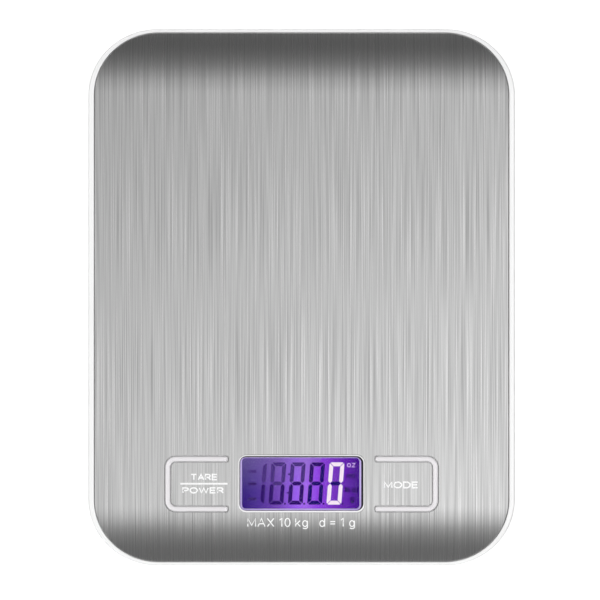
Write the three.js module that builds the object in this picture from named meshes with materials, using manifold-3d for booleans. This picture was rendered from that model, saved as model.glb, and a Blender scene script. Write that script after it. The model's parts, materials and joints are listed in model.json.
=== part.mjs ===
// A slim digital platform scale with a brushed steel top, two flexing steel buttons and a backlit display.
// Units are millimetres. +Z is up, +X is to the user's right and the display is at the -Y end.
// The origin is on the table, under the centre of the body.
import * as THREE from "three";
import { LoftGeometry } from "three/addons/geometries/LoftGeometry.js";
import { mergeVertices } from "three/addons/utils/BufferGeometryUtils.js";
import Module from "manifold-3d";

const wasm = await Module();
wasm.setup();

// ---------------------------------------------------------------------------------------------
// Driving dimensions
// ---------------------------------------------------------------------------------------------

const WIDTH = 180;
const LENGTH = 227;
const HEIGHT = 18; // top of the steel over the table
const CORNER_R = 29; // plan radius of the body's corners
const CORNER_STEPS = 8;

const FLAT_HALF = 87; // the platform is flat for |y| up to here
const ROLL_R = 69; // and then rolls down towards the front and back edges
const ROLL_STEPS = 4; // an arc takes twice this many chords

const CLEAR = 0.3; // gap between pieces that lie side by side
const SKIN = 0.1; // gap between pieces that lie face to face

const RIM = 2; // plastic rim left showing round the steel
const STEEL = 0.5; // sheet thickness
const STEEL_SKIRT = 1.6; // how far the cover's edge is folded down
const RIM_DROP = 0.25; // the rim lies this far under the steel

const DECK_TOP = 17;
const DECK_BOTTOM = 15.4;
const TOP_WALL = 2.2;
const PARTING = 8.5; // seam between the two shells
const PARTING_GAP = 0.2;
const LIP_INSET = 2.5;
const LIP_WIDTH = 1.2;
const LIP_DEPTH = 1;

const BASE_Z = 2.4; // underside of the bottom shell over the table
const BASE_WALL = 1.8;
const BASE_STEP = 0.4; // the bottom shell is this much smaller all round
const BASE_ROUND_IN = 9.6; // size of the rounded lower edge, sideways
const BASE_ROUND_UP = 5.2; // and upwards
const ROUND_STEPS = 5;

const PANEL_Y = -78.8; // centre line of the display and both buttons
const WINDOW = { x: 52.6, y: 23.7, r: 3 }; // opening in the steel
const BEZEL_WALL = 0.5;
const LENS = { x: 50.9, y: 22, r: 2.2, top: 17.6, thick: 1.2 };
const VIEW = { x: 49.6, y: 20.9, r: 1.4 }; // part of the display that shows
const FLANGE = { x: 56.4, y: 27.6, bottom: 14.2, top: 15 };
const LCD = { x: 53, y: 25, bottom: 11.7, top: 14.1 };
const BACKLIGHT_Y = 21.6;
const ZEBRA = { x: 50, y: 1.8 };

const BRACKET = { x: 56.5, halfY: 10.55, r: 3.5, end: 32.2 }; // centre line of the ridge round a button
const SLOT_HALF = 1.5;
const RIDGE_HALF = 1.2;
const RIDGE_PROUD = 0.35;
const BUTTON_ROOT = 31.2; // where the steel tongue bends
const BUTTON_THROW_GAP = 0.1;
const SWITCH_X = 44;
const SWITCH_BODY = 6;
const SWITCH_TOP = 13.85;
const PLUNGER_R = 1.7;
const PLUNGER_TOP = 14.9;
const PUSHER = { x: 12, y: 10, thick: 0.8, bottom: 16.6 };

const PCB = { x: 95.2, y: 28, bottom: 9.1, top: 10.3 };
const PCB_SCREW = { x: 33, y: PANEL_Y - 10.7 };

const FOOT_X = 62;
const FOOT_Y = 84;
const FOOT_R = 10.5;
const FOOT_HOLE_R = 11;
const PAD_R = 8.5;
const PAD_TOP = 1.6;
const CUP_BOTTOM = 0.8;
const CUP_TOP = 3.6;
const STEM_R = 3.5;
const CELL = { side: 25, bottom: 6, top: 7 };
const CELL_CLEARANCE = 0.35; // room for the foot's travel
const CLAMP = { side: 28, bottom: 4.9, top: 8.4, window: 18 };

const CASE_SCREW_X = 72;
const CASE_SCREW_Y = 48;

const BOX_Y = 12; // centre of the battery box
const CELL_AAA = { r: 5.25, length: 44.5, nubR: 1.9, nub: 1 };
const CELL_PITCH = 11.2;
const BOX_INNER = { x: 50.4, y: 22.8, top: 14.6 };
const BOX_OUTER = { x: 53.6, y: 26, top: 15.3 };
const DOOR = { x: 55, y: 28, thick: 1.4 };
const DOOR_TAB = { x: 12, y: 4, thick: 1 };
const CELL_Z = BASE_Z + DOOR.thick + SKIN + SKIN + CELL_AAA.r;

const CORNERS = [
  { name: "front_left", x: -1, y: -1 },
  { name: "front_right", x: 1, y: -1 },
  { name: "back_left", x: -1, y: 1 },
  { name: "back_right", x: 1, y: 1 },
];
const SIDES = [
  { name: "tare", x: -1 },
  { name: "unit", x: 1 },
];

// ---------------------------------------------------------------------------------------------
// Materials
// ---------------------------------------------------------------------------------------------

function material(color, roughness, metalness = 0) {
  return new THREE.MeshStandardMaterial({ color, roughness, metalness });
}

const MATERIALS = {
  brushedSteel: material(0xc4c4c4, 0.34, 1),
  whitePlastic: material(0xf4f4f4, 0.32),
  innerPlastic: material(0xe6e6e2, 0.55),
  ridgePlastic: material(0xe9e6e9, 0.2),
  clearAcrylic: material(0xf4f6ff, 0.04),
  display: material(0x6a28d8, 0.2),
  lightGuide: material(0xb98cff, 0.3),
  blackRubber: material(0x242424, 0.7),
  whiteRubber: material(0xdedede, 0.75),
  circuitBoard: material(0x1e6b3a, 0.45),
  epoxy: material(0x0f0f10, 0.35),
  springSteel: material(0x9a9a9a, 0.3, 1),
  zincScrew: material(0xb5b5b0, 0.35, 1),
  silicone: material(0xf2f2ee, 0.6),
  foamTape: material(0xf7f7f7, 0.9),
  batterySleeve: material(0x2f6f8f, 0.3, 0.2),
  redWire: material(0xb3231f, 0.45),
  blackWire: material(0x1b1b1b, 0.45),
};

// ---------------------------------------------------------------------------------------------
// Solids
// ---------------------------------------------------------------------------------------------

/** A closed geometry as a manifold solid. */
function solid(geometry) {
  geometry.deleteAttribute("normal");
  geometry.deleteAttribute("uv");
  const merged = mergeVertices(geometry, 1e-4);
  return new wasm.Manifold(
    new wasm.Mesh({
      numProp: 3,
      vertProperties: merged.attributes.position.array,
      triVerts: new Uint32Array(merged.index.array),
    }),
  );
}

function join(...solids) {
  return solids.reduce((whole, next) => whole.add(next));
}

function cut(body, ...tools) {
  return tools.reduce((whole, next) => whole.subtract(next), body);
}

/** A plan shape extruded from z = low to z = high. */
function prism(shape, low, high) {
  const options = { depth: high - low, bevelEnabled: false, curveSegments: 4 };
  return solid(new THREE.ExtrudeGeometry(shape, options).translate(0, 0, low));
}

/** A box by its centre in plan and its lowest and highest z. */
function block(x, y, sizeX, sizeY, low, high) {
  const box = new THREE.BoxGeometry(sizeX, sizeY, high - low);
  return solid(box.translate(x, y, (low + high) / 2));
}

/** An upright cylinder by its axis in plan and its lowest and highest z. */
function post(x, y, radius, low, high, segments = 16) {
  const round = new THREE.CylinderGeometry(radius, radius, high - low, segments);
  return solid(round.rotateX(Math.PI / 2).translate(x, y, (low + high) / 2));
}

/** An upright solid of revolution from [radius, z] pairs that start and end on the axis. */
function turned(pairs, segments = 20) {
  const profile = pairs.map(([radius, z]) => new THREE.Vector2(radius, z));
  return solid(new THREE.LatheGeometry(profile, segments).rotateX(Math.PI / 2));
}

/** A round bar of the given radius along a smooth path. */
function rod(points, radius, steps, sides = 8) {
  const path = new THREE.CatmullRomCurve3(points.map((p) => new THREE.Vector3(...p)));
  const section = new THREE.Shape();
  section.absarc(0, 0, radius, 0, 2 * Math.PI);
  const around = section.getPoints(sides / 2).slice(0, sides);
  return solid(new THREE.ExtrudeGeometry(new THREE.Shape(around), { steps, extrudePath: path }));
}

/** Points of a rounded rectangle, anticlockwise. */
function roundedPoints(sizeX, sizeY, radius, steps = 4) {
  const points = [];
  const signs = [[1, 1], [-1, 1], [-1, -1], [1, -1]];
  signs.forEach(([signX, signY], quarter) => {
    for (let k = 0; k <= steps; k++) {
      const angle = ((quarter + k / steps) * Math.PI) / 2;
      const x = signX * (sizeX / 2 - radius) + radius * Math.cos(angle);
      const y = signY * (sizeY / 2 - radius) + radius * Math.sin(angle);
      points.push(new THREE.Vector2(x, y));
    }
  });
  return points;
}

/** An upright prism with a rounded rectangular plan, centred on (x, y). */
function roundedBlock(x, y, size, low, high) {
  return prism(new THREE.Shape(roundedPoints(size.x, size.y, size.r)), low, high).translate(x, y, 0);
}

/** Points of the body's outline, inset by a distance. */
function outlinePoints(inset) {
  return roundedPoints(WIDTH - 2 * inset, LENGTH - 2 * inset, CORNER_R - inset, CORNER_STEPS);
}

/** The body's outline, inset by a distance, as an upright prism. */
function outline(inset, low = 0, high = HEIGHT + 4) {
  return prism(new THREE.Shape(outlinePoints(inset)), low, high);
}

/** How far the rolled ends of the platform lie under its flat middle. */
function drop(y) {
  const past = Math.max(0, Math.abs(y) - FLAT_HALF);
  return ROLL_R - Math.sqrt(ROLL_R ** 2 - past ** 2);
}

/** The space between the platform's side profile at height top and the same profile, or a plane, below it. */
function arched(top, bottom, flatBottom = false) {
  const reach = LENGTH / 2 + 2;
  const turn = Math.asin((reach - FLAT_HALF) / ROLL_R);
  const up = Math.PI / 2;
  const profile = new THREE.Shape();
  profile.moveTo(-FLAT_HALF, top);
  profile.lineTo(FLAT_HALF, top);
  profile.absarc(FLAT_HALF, top - ROLL_R, ROLL_R, up, up - turn, true);
  if (flatBottom) {
    profile.lineTo(reach, bottom);
    profile.lineTo(-reach, bottom);
  } else {
    profile.lineTo(reach, bottom - drop(reach));
    profile.absarc(FLAT_HALF, bottom - ROLL_R, ROLL_R, up - turn, up, false);
    profile.lineTo(-FLAT_HALF, bottom);
    profile.absarc(-FLAT_HALF, bottom - ROLL_R, ROLL_R, up, up + turn, false);
  }
  profile.lineTo(-reach, top - drop(reach));
  profile.absarc(-FLAT_HALF, top - ROLL_R, ROLL_R, up + turn, up, true);
  const options = { depth: WIDTH + 4, bevelEnabled: false, curveSegments: ROLL_STEPS };
  const slab = new THREE.ExtrudeGeometry(profile, options).translate(0, 0, -WIDTH / 2 - 2);
  const toBody = new THREE.Matrix4().makeBasis(
    new THREE.Vector3(0, 1, 0),
    new THREE.Vector3(0, 0, 1),
    new THREE.Vector3(1, 0, 0),
  );
  return solid(slab.applyMatrix4(toBody));
}

/** A solid of the body's outline, with a quarter-ellipse lower edge and straight upper walls. */
function tub(inset, floor, roundIn, roundUp, top) {
  const ring = (distance, z) => outlinePoints(distance).map((p) => new THREE.Vector3(p.x, p.y, z));
  const sections = [];
  for (let k = 0; k <= ROUND_STEPS; k++) {
    const angle = ((k / ROUND_STEPS) * Math.PI) / 2;
    sections.push(ring(inset + roundIn * (1 - Math.sin(angle)), floor + roundUp * (1 - Math.cos(angle))));
  }
  sections.push(ring(inset, top));
  return solid(new LoftGeometry(sections, { capStart: true, capEnd: true }));
}

/** The U-shaped band of the given half width that runs round the outer three sides of a button. */
function bracketShape(half) {
  const { x, halfY, r, end } = BRACKET;
  const [outer, inner] = [half, -half];
  const quarter = Math.PI / 2;
  const shape = new THREE.Shape();
  shape.moveTo(end, halfY + outer);
  shape.lineTo(x - r, halfY + outer);
  shape.absarc(x - r, halfY - r, r + outer, quarter, 0, true);
  shape.lineTo(x + outer, r - halfY);
  shape.absarc(x - r, r - halfY, r + outer, 0, -quarter, true);
  shape.lineTo(end, -halfY - outer);
  shape.absarc(end, -halfY, half, -quarter, -3 * quarter, true);
  shape.lineTo(x - r, -halfY - inner);
  shape.absarc(x - r, r - halfY, r + inner, -quarter, 0, false);
  shape.lineTo(x + inner, halfY - r);
  shape.absarc(x - r, halfY - r, r + inner, 0, quarter, false);
  shape.lineTo(end, halfY + inner);
  shape.absarc(end, halfY, half, -quarter, -3 * quarter, true);
  return shape;
}

/** Plan of the steel tongue inside a bracket: square at its root, rounded at its free corners. */
function tongueShape(root) {
  const tip = BRACKET.x - SLOT_HALF;
  const halfY = BRACKET.halfY - SLOT_HALF;
  const r = BRACKET.r - SLOT_HALF;
  const shape = new THREE.Shape();
  shape.moveTo(root, -halfY);
  shape.lineTo(tip - r, -halfY);
  shape.absarc(tip - r, r - halfY, r, -Math.PI / 2, 0, false);
  shape.lineTo(tip, halfY - r);
  shape.absarc(tip - r, halfY - r, r, 0, Math.PI / 2, false);
  shape.lineTo(root, halfY);
  return shape;
}

/** A plan shape drawn for the right-hand button, as a prism on the button on the given side. */
function onButton(side, shape, low, high) {
  const made = prism(shape, low, high);
  return (side.x < 0 ? made.mirror([1, 0, 0]) : made).translate(0, PANEL_Y, 0);
}

// ---------------------------------------------------------------------------------------------
// Casing
// ---------------------------------------------------------------------------------------------

function steelCover() {
  const blank = outline(RIM).intersect(arched(HEIGHT, HEIGHT - STEEL_SKIRT));
  const hollow = outline(RIM + STEEL).intersect(arched(HEIGHT - STEEL, 0, true));
  const buttons = SIDES.flatMap((side) => [
    onButton(side, bracketShape(SLOT_HALF), PARTING, HEIGHT + 1),
    onButton(side, tongueShape(BUTTON_ROOT), PARTING, HEIGHT + 1),
  ]);
  return cut(blank, hollow, roundedBlock(0, PANEL_Y, WINDOW, PARTING, HEIGHT + 1), ...buttons);
}

function coverAdhesive() {
  const margin = 5.5;
  const sheet = outline(margin).intersect(arched(DECK_TOP + 0.4, DECK_TOP + SKIN));
  const panelBack = PANEL_Y + 15;
  return cut(sheet, block(0, panelBack - LENGTH / 2, 2 * FOOT_X, LENGTH, 0, HEIGHT + 1));
}

function topShell() {
  const band = outline(0).intersect(arched(HEIGHT - RIM_DROP, PARTING + PARTING_GAP / 2, true));
  const lip = outline(LIP_INSET, PARTING - LIP_DEPTH, PARTING + TOP_WALL);
  const lipInner = LIP_INSET + LIP_WIDTH;
  const lowCavity = outline(lipInner, 0, PARTING + TOP_WALL);
  const cavity = outline(TOP_WALL, PARTING + LIP_WIDTH).intersect(arched(DECK_BOTTOM, 0, true));
  const recess = outline(RIM - CLEAR).intersect(arched(HEIGHT + 2, DECK_TOP));
  const groove = outline(RIM - CLEAR)
    .subtract(outline(RIM + STEEL + CLEAR))
    .intersect(arched(HEIGHT + 2, HEIGHT - STEEL_SKIRT - CLEAR));
  const shell = cut(join(band, lip), lowCavity, cavity, recess, groove);
  const windows = [
    roundedBlock(0, PANEL_Y, { ...WINDOW, r: WINDOW.r + SKIN }, DECK_BOTTOM - 1, HEIGHT),
    ...SIDES.map((side) => block(side.x * (SWITCH_X + 0.5), PANEL_Y, 17, 13, DECK_BOTTOM - 1, HEIGHT)),
  ];
  const bosses = CORNERS.map((c) => post(c.x * CASE_SCREW_X, c.y * CASE_SCREW_Y, 3, 12, DECK_BOTTOM + 0.2));
  const pilots = CORNERS.map((c) => post(c.x * CASE_SCREW_X, c.y * CASE_SCREW_Y, 1.2, 11, 15, 8));
  const boardBosses = SIDES.map((s) => post(s.x * PCB_SCREW.x, PCB_SCREW.y, 2.2, PCB.top + SKIN, DECK_BOTTOM));
  const boardPilots = SIDES.map((s) => post(s.x * PCB_SCREW.x, PCB_SCREW.y, 1, PCB.top, 14.4, 8));
  return cut(join(cut(shell, ...windows), ...bosses, ...boardBosses), ...pilots, ...boardPilots);
}

function bottomShell() {
  const top = PARTING - PARTING_GAP / 2;
  const outer = tub(BASE_STEP, BASE_Z, BASE_ROUND_IN, BASE_ROUND_UP, top);
  const floor = BASE_Z + BASE_WALL;
  const innerInset = BASE_STEP + BASE_WALL;
  const inner = tub(innerInset, floor, BASE_ROUND_IN - 0.8, BASE_ROUND_UP - 2, top + 5);
  const additions = [];
  const holes = [];
  for (const c of CORNERS) {
    const [footX, footY] = [c.x * FOOT_X, c.y * FOOT_Y];
    const seatHeight = CELL.bottom - SKIN;
    additions.push(post(footX, footY, 12.5, floor - 0.2, seatHeight, 24));
    holes.push(post(footX, footY, FOOT_HOLE_R, 0, seatHeight + 1, 24));
    const [screwX, screwY] = [c.x * CASE_SCREW_X, c.y * CASE_SCREW_Y];
    additions.push(post(screwX, screwY, 3.6, floor - 0.2, 11.8));
    holes.push(post(screwX, screwY, 2.8, 0, 6.4, 12), post(screwX, screwY, 1.4, 6, 13, 8));
  }
  const flangeTop = 5.2;
  additions.push(block(0, BOX_Y, BOX_OUTER.x, BOX_OUTER.y, flangeTop - 1, BOX_OUTER.top));
  additions.push(block(0, BOX_Y, DOOR.x + 3.4, DOOR.y + 3.4, floor - 0.2, flangeTop));
  additions.push(block(0, BOX_Y - DOOR.y / 2 - 5, DOOR_TAB.x + 6, 12, floor - 0.2, flangeTop));
  const doorTop = BASE_Z + DOOR.thick + SKIN;
  holes.push(block(0, BOX_Y, BOX_INNER.x, BOX_INNER.y, doorTop - 1, BOX_INNER.top));
  holes.push(block(0, BOX_Y, DOOR.x + 2 * CLEAR, DOOR.y + 2 * CLEAR, 0, doorTop));
  const tabY = BOX_Y - (DOOR.y + DOOR_TAB.y) / 2;
  holes.push(block(0, tabY - CLEAR, DOOR_TAB.x + 2 * CLEAR, DOOR_TAB.y + 2, 0, doorTop));
  holes.push(fingerScoop());
  const wireSlot = block(-BOX_OUTER.x / 2, BOX_Y, 4, 2.4, BOX_INNER.top - 3, BOX_INNER.top - 1);
  return cut(join(cut(outer, inner), ...additions), ...holes, wireSlot);
}

/** A shallow dish in front of the battery door's tab, where a fingertip goes. */
function fingerScoop() {
  const radius = 12;
  const depth = 1.5;
  const dish = new THREE.CylinderGeometry(radius, radius, DOOR_TAB.x, 32).rotateZ(Math.PI / 2);
  const y = BOX_Y - DOOR.y / 2 - DOOR_TAB.y - 1;
  return solid(dish.translate(0, y, BASE_Z - radius + depth));
}

// ---------------------------------------------------------------------------------------------
// Display and circuit board
// ---------------------------------------------------------------------------------------------

function displayBezel() {
  const outer = { x: WINDOW.x - 0.4, y: WINDOW.y - 0.4, r: WINDOW.r - 0.2 };
  const pocket = { x: outer.x - 2 * BEZEL_WALL, y: outer.y - 2 * BEZEL_WALL, r: outer.r - BEZEL_WALL };
  const lipTop = HEIGHT - 0.2;
  const lip = roundedBlock(0, PANEL_Y, outer, FLANGE.bottom, lipTop);
  const flange = block(0, PANEL_Y, FLANGE.x, FLANGE.y, FLANGE.bottom, FLANGE.top);
  const lensSeat = LENS.top - LENS.thick - SKIN;
  return cut(
    join(lip, flange),
    roundedBlock(0, PANEL_Y, pocket, lensSeat, HEIGHT + 1),
    roundedBlock(0, PANEL_Y, VIEW, FLANGE.bottom - 1, HEIGHT),
  );
}

function displayLens() {
  return roundedBlock(0, PANEL_Y, LENS, LENS.top - LENS.thick, LENS.top);
}

function lcdPanel() {
  return block(0, PANEL_Y, LCD.x, LCD.y, LCD.bottom, LCD.top);
}

function backlightPanel() {
  const y = PANEL_Y - (LCD.y - BACKLIGHT_Y) / 2;
  return block(0, y, LCD.x, BACKLIGHT_Y, PCB.top + SKIN, LCD.bottom - SKIN);
}

function zebraConnector() {
  const y = PANEL_Y + LCD.y / 2 - ZEBRA.y / 2 - 0.3;
  return block(0, y, ZEBRA.x, ZEBRA.y, PCB.top + SKIN, LCD.bottom - SKIN);
}

function mainBoard() {
  const board = block(0, PANEL_Y, PCB.x, PCB.y, PCB.bottom, PCB.top);
  const holes = SIDES.map((s) => post(s.x * PCB_SCREW.x, PCB_SCREW.y, 1.3, PCB.bottom - 1, PCB.top + 1, 12));
  return cut(board, ...holes);
}

function chipPotting() {
  const r = 6;
  const high = 1.4;
  const dome = [[0, -high], [r * 0.5, -high * 0.86], [r * 0.87, -high * 0.5], [r, 0], [0, 0]];
  return turned(dome, 16).translate(0, PANEL_Y, PCB.bottom - SKIN);
}

function switchBody(side) {
  const x = side.x * SWITCH_X;
  const body = block(x, PANEL_Y, SWITCH_BODY, SWITCH_BODY, PCB.top + SKIN, SWITCH_TOP);
  return cut(body, post(x, PANEL_Y, PLUNGER_R + CLEAR, SWITCH_TOP - 0.9, SWITCH_TOP + 1, 12));
}

function switchPlunger(side) {
  return post(side.x * SWITCH_X, PANEL_Y, PLUNGER_R, SWITCH_TOP - 0.5, PLUNGER_TOP, 12);
}

// ---------------------------------------------------------------------------------------------
// Buttons
// ---------------------------------------------------------------------------------------------

function buttonTongue(side) {
  return onButton(side, tongueShape(BUTTON_ROOT + BUTTON_THROW_GAP), HEIGHT - STEEL, HEIGHT);
}

function buttonRidge(side) {
  const tall = onButton(side, bracketShape(RIDGE_HALF), DECK_TOP - 1, HEIGHT + 2);
  return tall.intersect(arched(HEIGHT + RIDGE_PROUD, DECK_TOP + SKIN));
}

function buttonPusher(side) {
  const x = side.x * SWITCH_X;
  const plate = block(x, PANEL_Y, PUSHER.x, PUSHER.y, PUSHER.bottom, PUSHER.bottom + PUSHER.thick);
  return join(plate, post(x, PANEL_Y, 2, PLUNGER_TOP + SKIN, PUSHER.bottom + 0.2, 12));
}

// ---------------------------------------------------------------------------------------------
// Feet and load cells
// ---------------------------------------------------------------------------------------------

function footPad(c) {
  const round = 0.5;
  const profile = [[0, 0], [PAD_R - round, 0], [PAD_R, round], [PAD_R, PAD_TOP], [0, PAD_TOP]];
  return turned(profile).translate(c.x * FOOT_X, c.y * FOOT_Y, 0);
}

function footCup(c) {
  const pocketTop = PAD_TOP + SKIN;
  const pocketR = PAD_R + CLEAR;
  const stemTop = CELL.bottom - CELL_CLEARANCE;
  const profile = [
    [0, pocketTop],
    [pocketR, pocketTop],
    [pocketR, CUP_BOTTOM],
    [FOOT_R - 0.5, CUP_BOTTOM],
    [FOOT_R, CUP_BOTTOM + 0.5],
    [FOOT_R, CUP_TOP],
    [STEM_R, CUP_TOP],
    [STEM_R, stemTop],
    [0, stemTop],
  ];
  return turned(profile).translate(c.x * FOOT_X, c.y * FOOT_Y, 0);
}

/** A square spring plate whose middle tongue bends when the foot pushes it. */
function loadCell(c) {
  const slot = 1.2;
  const tongueHalf = 4.5;
  const reach = 13;
  const [low, high] = [CELL.bottom - 1, CELL.top + 1];
  const plate = block(0, 0, CELL.side, CELL.side, CELL.bottom, CELL.top);
  const across = tongueHalf + slot / 2;
  const sideSlots = [-1, 1].map((s) => block(s * across, 0, slot, reach, low, high));
  const endSlot = block(0, (slot - reach) / 2, 2 * across + slot, slot, low, high);
  return cut(plate, ...sideSlots, endSlot).translate(c.x * FOOT_X, c.y * FOOT_Y, 0);
}

function strainGauge(c) {
  const pad = block(0, 5.2, 8, 5, CELL.top + SKIN / 2, CELL.top + 0.85);
  return pad.translate(c.x * FOOT_X, c.y * FOOT_Y, 0);
}

function sensorClamp(c) {
  const inner = CELL.side + 2 * CLEAR;
  const cap = cut(
    block(0, 0, CLAMP.side, CLAMP.side, CLAMP.bottom, CLAMP.top),
    block(0, 0, inner, inner, CLAMP.bottom - 1, CELL.top + SKIN),
    block(0, 0, CLAMP.window, CLAMP.window, CLAMP.bottom, CLAMP.top + 1),
  );
  return cap.translate(c.x * FOOT_X, c.y * FOOT_Y, 0);
}

/** The cable from a load cell to the underside of the board, lying on the shell's floor. */
function sensorCable(c) {
  const [x, lying, boardEnd] = [c.x, 5.5, PCB.bottom - 0.5];
  const front = [
    [x * 57.5, -76, 9.3],
    [x * 55.5, -69, 9.4],
    [x * 51, -63, 6.8],
    [x * 44, -60, lying],
    [x * 38, -61.5, 5.8],
    [x * 36.5, -67.5, 6.4],
    [x * 36.4, -69, boardEnd - 1.2],
    [x * 36.4, -69, boardEnd],
  ];
  const back = [
    [x * 57.5, 76, 9.3],
    [x * 55, 68, 9.3],
    [x * 53, 60, 6.4],
    [x * 52, 50, lying],
    [x * 52, 10, lying],
    [x * 51, -30, lying],
    [x * 45, -50, lying],
    [x * 34, -57, lying],
    [x * 28.6, -66, 6.3],
    [x * 28.2, -69, boardEnd - 1.2],
    [x * 28.2, -69, boardEnd],
  ];
  return rod(c.y < 0 ? front : back, 0.8, c.y < 0 ? 16 : 30);
}

// ---------------------------------------------------------------------------------------------
// Batteries
// ---------------------------------------------------------------------------------------------

/** An AAA cell lying along X, its nub pointing to +X or -X. */
function battery(direction) {
  const { r, length, nubR, nub } = CELL_AAA;
  const profile = [[0, 0], [r - 0.3, 0], [r, 0.3], [r, length - nub - 0.3], [r - 0.3, length - nub]];
  profile.push([nubR, length - nub], [nubR, length], [0, length]);
  const upright = turned(profile).translate(0, 0, -length / 2);
  const plateInner = BOX_INNER.x / 2 - 0.5;
  const x = direction * (plateInner - SKIN - length / 2);
  return upright.rotate([0, direction * 90, 0]).translate(x, BOX_Y - (direction * CELL_PITCH) / 2, CELL_Z);
}

/** A contact plate on the box's end wall at +X or -X, between two places across the box. */
function contactPlate(end, fromY, toY) {
  const x = end * (BOX_INNER.x / 2 - 0.3);
  return block(x, BOX_Y + (fromY + toY) / 2, 0.4, toY - fromY, CELL_Z - 4, CELL_Z + 4);
}

/** A conical battery spring that stands on the contact plate at the given end. */
function contactSpring(end, y) {
  const turns = 3;
  const wire = 0.3;
  const steps = 40;
  const base = BOX_INNER.x / 2 - 0.5;
  const tip = CELL_AAA.length - base + 2 * SKIN + wire;
  const points = [];
  for (let k = 0; k <= steps; k++) {
    const part = k / steps;
    const angle = 2 * Math.PI * turns * part;
    const radius = 3.4 - 1.2 * part;
    const x = base + (tip - base) * part;
    points.push([end * x, BOX_Y + y + radius * Math.cos(angle), CELL_Z + radius * Math.sin(angle)]);
  }
  return rod(points, wire, steps, 6);
}

function linkContact() {
  return join(contactPlate(1, -9.6, 9.6), contactSpring(1, CELL_PITCH / 2));
}

function springContact() {
  return join(contactPlate(-1, -9.6, -1.6), contactSpring(-1, -CELL_PITCH / 2));
}

function flatContact() {
  return contactPlate(-1, 1.6, 9.6);
}

/** A lead from the battery box to the underside of the board, a given distance outside the box. */
function batteryLead(startY, outside, boardX) {
  const wall = -BOX_OUTER.x / 2;
  const [lying, boardEnd] = [5.3, PCB.bottom - 0.5];
  const points = [
    [wall - CLEAR, BOX_Y + startY, 9.5],
    [wall - outside * 0.6, BOX_Y + startY - 1, 9],
    [wall - outside, BOX_Y + startY - 6, 7],
    [wall - outside, BOX_Y + startY - 16, lying],
    [wall - outside + 2, -30, lying],
    [boardX - 5, -52, lying],
    [boardX - 1, -64, lying + 0.4],
    [boardX, -69, boardEnd - 1.2],
    [boardX, -69, boardEnd],
  ];
  return rod(points, 0.6, 30, 6);
}

/** The battery door: a plate with a round hinge edge at +Y and a thumb tab at -Y. */
function batteryDoor() {
  const r = DOOR.thick / 2;
  const hingeY = BOX_Y + DOOR.y / 2 - r;
  const plateLength = DOOR.y - r;
  const plate = block(0, hingeY - plateLength / 2, DOOR.x, plateLength, BASE_Z, BASE_Z + DOOR.thick);
  const knuckle = new THREE.CylinderGeometry(r, r, DOOR.x, 16).rotateZ(Math.PI / 2);
  const tabY = BOX_Y - (DOOR.y + DOOR_TAB.y) / 2 + 0.5;
  const tab = block(0, tabY, DOOR_TAB.x, DOOR_TAB.y + 1, BASE_Z, BASE_Z + DOOR_TAB.thick);
  return join(plate, solid(knuckle.translate(0, hingeY, BASE_Z + r)), tab);
}

// ---------------------------------------------------------------------------------------------
// Fasteners
// ---------------------------------------------------------------------------------------------

/** A pan-head screw pointing up, its head resting against z = seat. */
function screw(x, y, seat, headR, headHeight, shankR, length) {
  const profile = [
    [0, -headHeight],
    [headR * 0.7, -headHeight],
    [headR, -headHeight * 0.5],
    [headR, 0],
    [shankR, 0],
    [shankR, length - 1],
    [0, length],
  ];
  return turned(profile, 12).translate(x, y, seat);
}

// ---------------------------------------------------------------------------------------------
// Assembly
// ---------------------------------------------------------------------------------------------

const scale = new THREE.Group();

function add(name, body, look) {
  const { vertProperties, triVerts } = body.getMesh();
  const geometry = new THREE.BufferGeometry();
  geometry.setAttribute("position", new THREE.BufferAttribute(vertProperties, 3));
  geometry.setIndex(new THREE.BufferAttribute(triVerts, 1));
  geometry.computeVertexNormals();
  const mesh = new THREE.Mesh(geometry, look);
  mesh.name = name;
  scale.add(mesh);
}

add("steel_cover", steelCover(), MATERIALS.brushedSteel);
add("cover_adhesive", coverAdhesive(), MATERIALS.foamTape);
add("top_shell", topShell(), MATERIALS.whitePlastic);
add("bottom_shell", bottomShell(), MATERIALS.whitePlastic);

add("display_lens", displayLens(), MATERIALS.clearAcrylic);
add("display_bezel", displayBezel(), MATERIALS.whitePlastic);
add("lcd_panel", lcdPanel(), MATERIALS.display);
add("backlight_panel", backlightPanel(), MATERIALS.lightGuide);
add("zebra_connector", zebraConnector(), MATERIALS.blackRubber);
add("main_board", mainBoard(), MATERIALS.circuitBoard);
add("chip_potting", chipPotting(), MATERIALS.epoxy);

for (const side of SIDES) {
  add(`${side.name}_switch_body`, switchBody(side), MATERIALS.epoxy);
  add(`${side.name}_switch_plunger`, switchPlunger(side), MATERIALS.blackRubber);
  add(`${side.name}_button_tongue`, buttonTongue(side), MATERIALS.brushedSteel);
  add(`${side.name}_button_pusher`, buttonPusher(side), MATERIALS.innerPlastic);
  add(`${side.name}_button_ridge`, buttonRidge(side), MATERIALS.ridgePlastic);
  const boardScrew = screw(side.x * PCB_SCREW.x, PCB_SCREW.y, PCB.bottom - SKIN, 2.2, 1.4, 0.8, 5);
  add(`board_screw_${side.x < 0 ? "left" : "right"}`, boardScrew, MATERIALS.zincScrew);
}

for (const c of CORNERS) {
  add(`foot_pad_${c.name}`, footPad(c), MATERIALS.whiteRubber);
  add(`foot_cup_${c.name}`, footCup(c), MATERIALS.innerPlastic);
  add(`load_cell_${c.name}`, loadCell(c), MATERIALS.springSteel);
  add(`strain_gauge_${c.name}`, strainGauge(c), MATERIALS.silicone);
  add(`sensor_clamp_${c.name}`, sensorClamp(c), MATERIALS.innerPlastic);
  add(`sensor_cable_${c.name}`, sensorCable(c), MATERIALS.blackWire);
  const caseScrew = screw(c.x * CASE_SCREW_X, c.y * CASE_SCREW_Y, 6.3, 2.5, 1.6, 1, 8);
  add(`case_screw_${c.name}`, caseScrew, MATERIALS.zincScrew);
}

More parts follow.
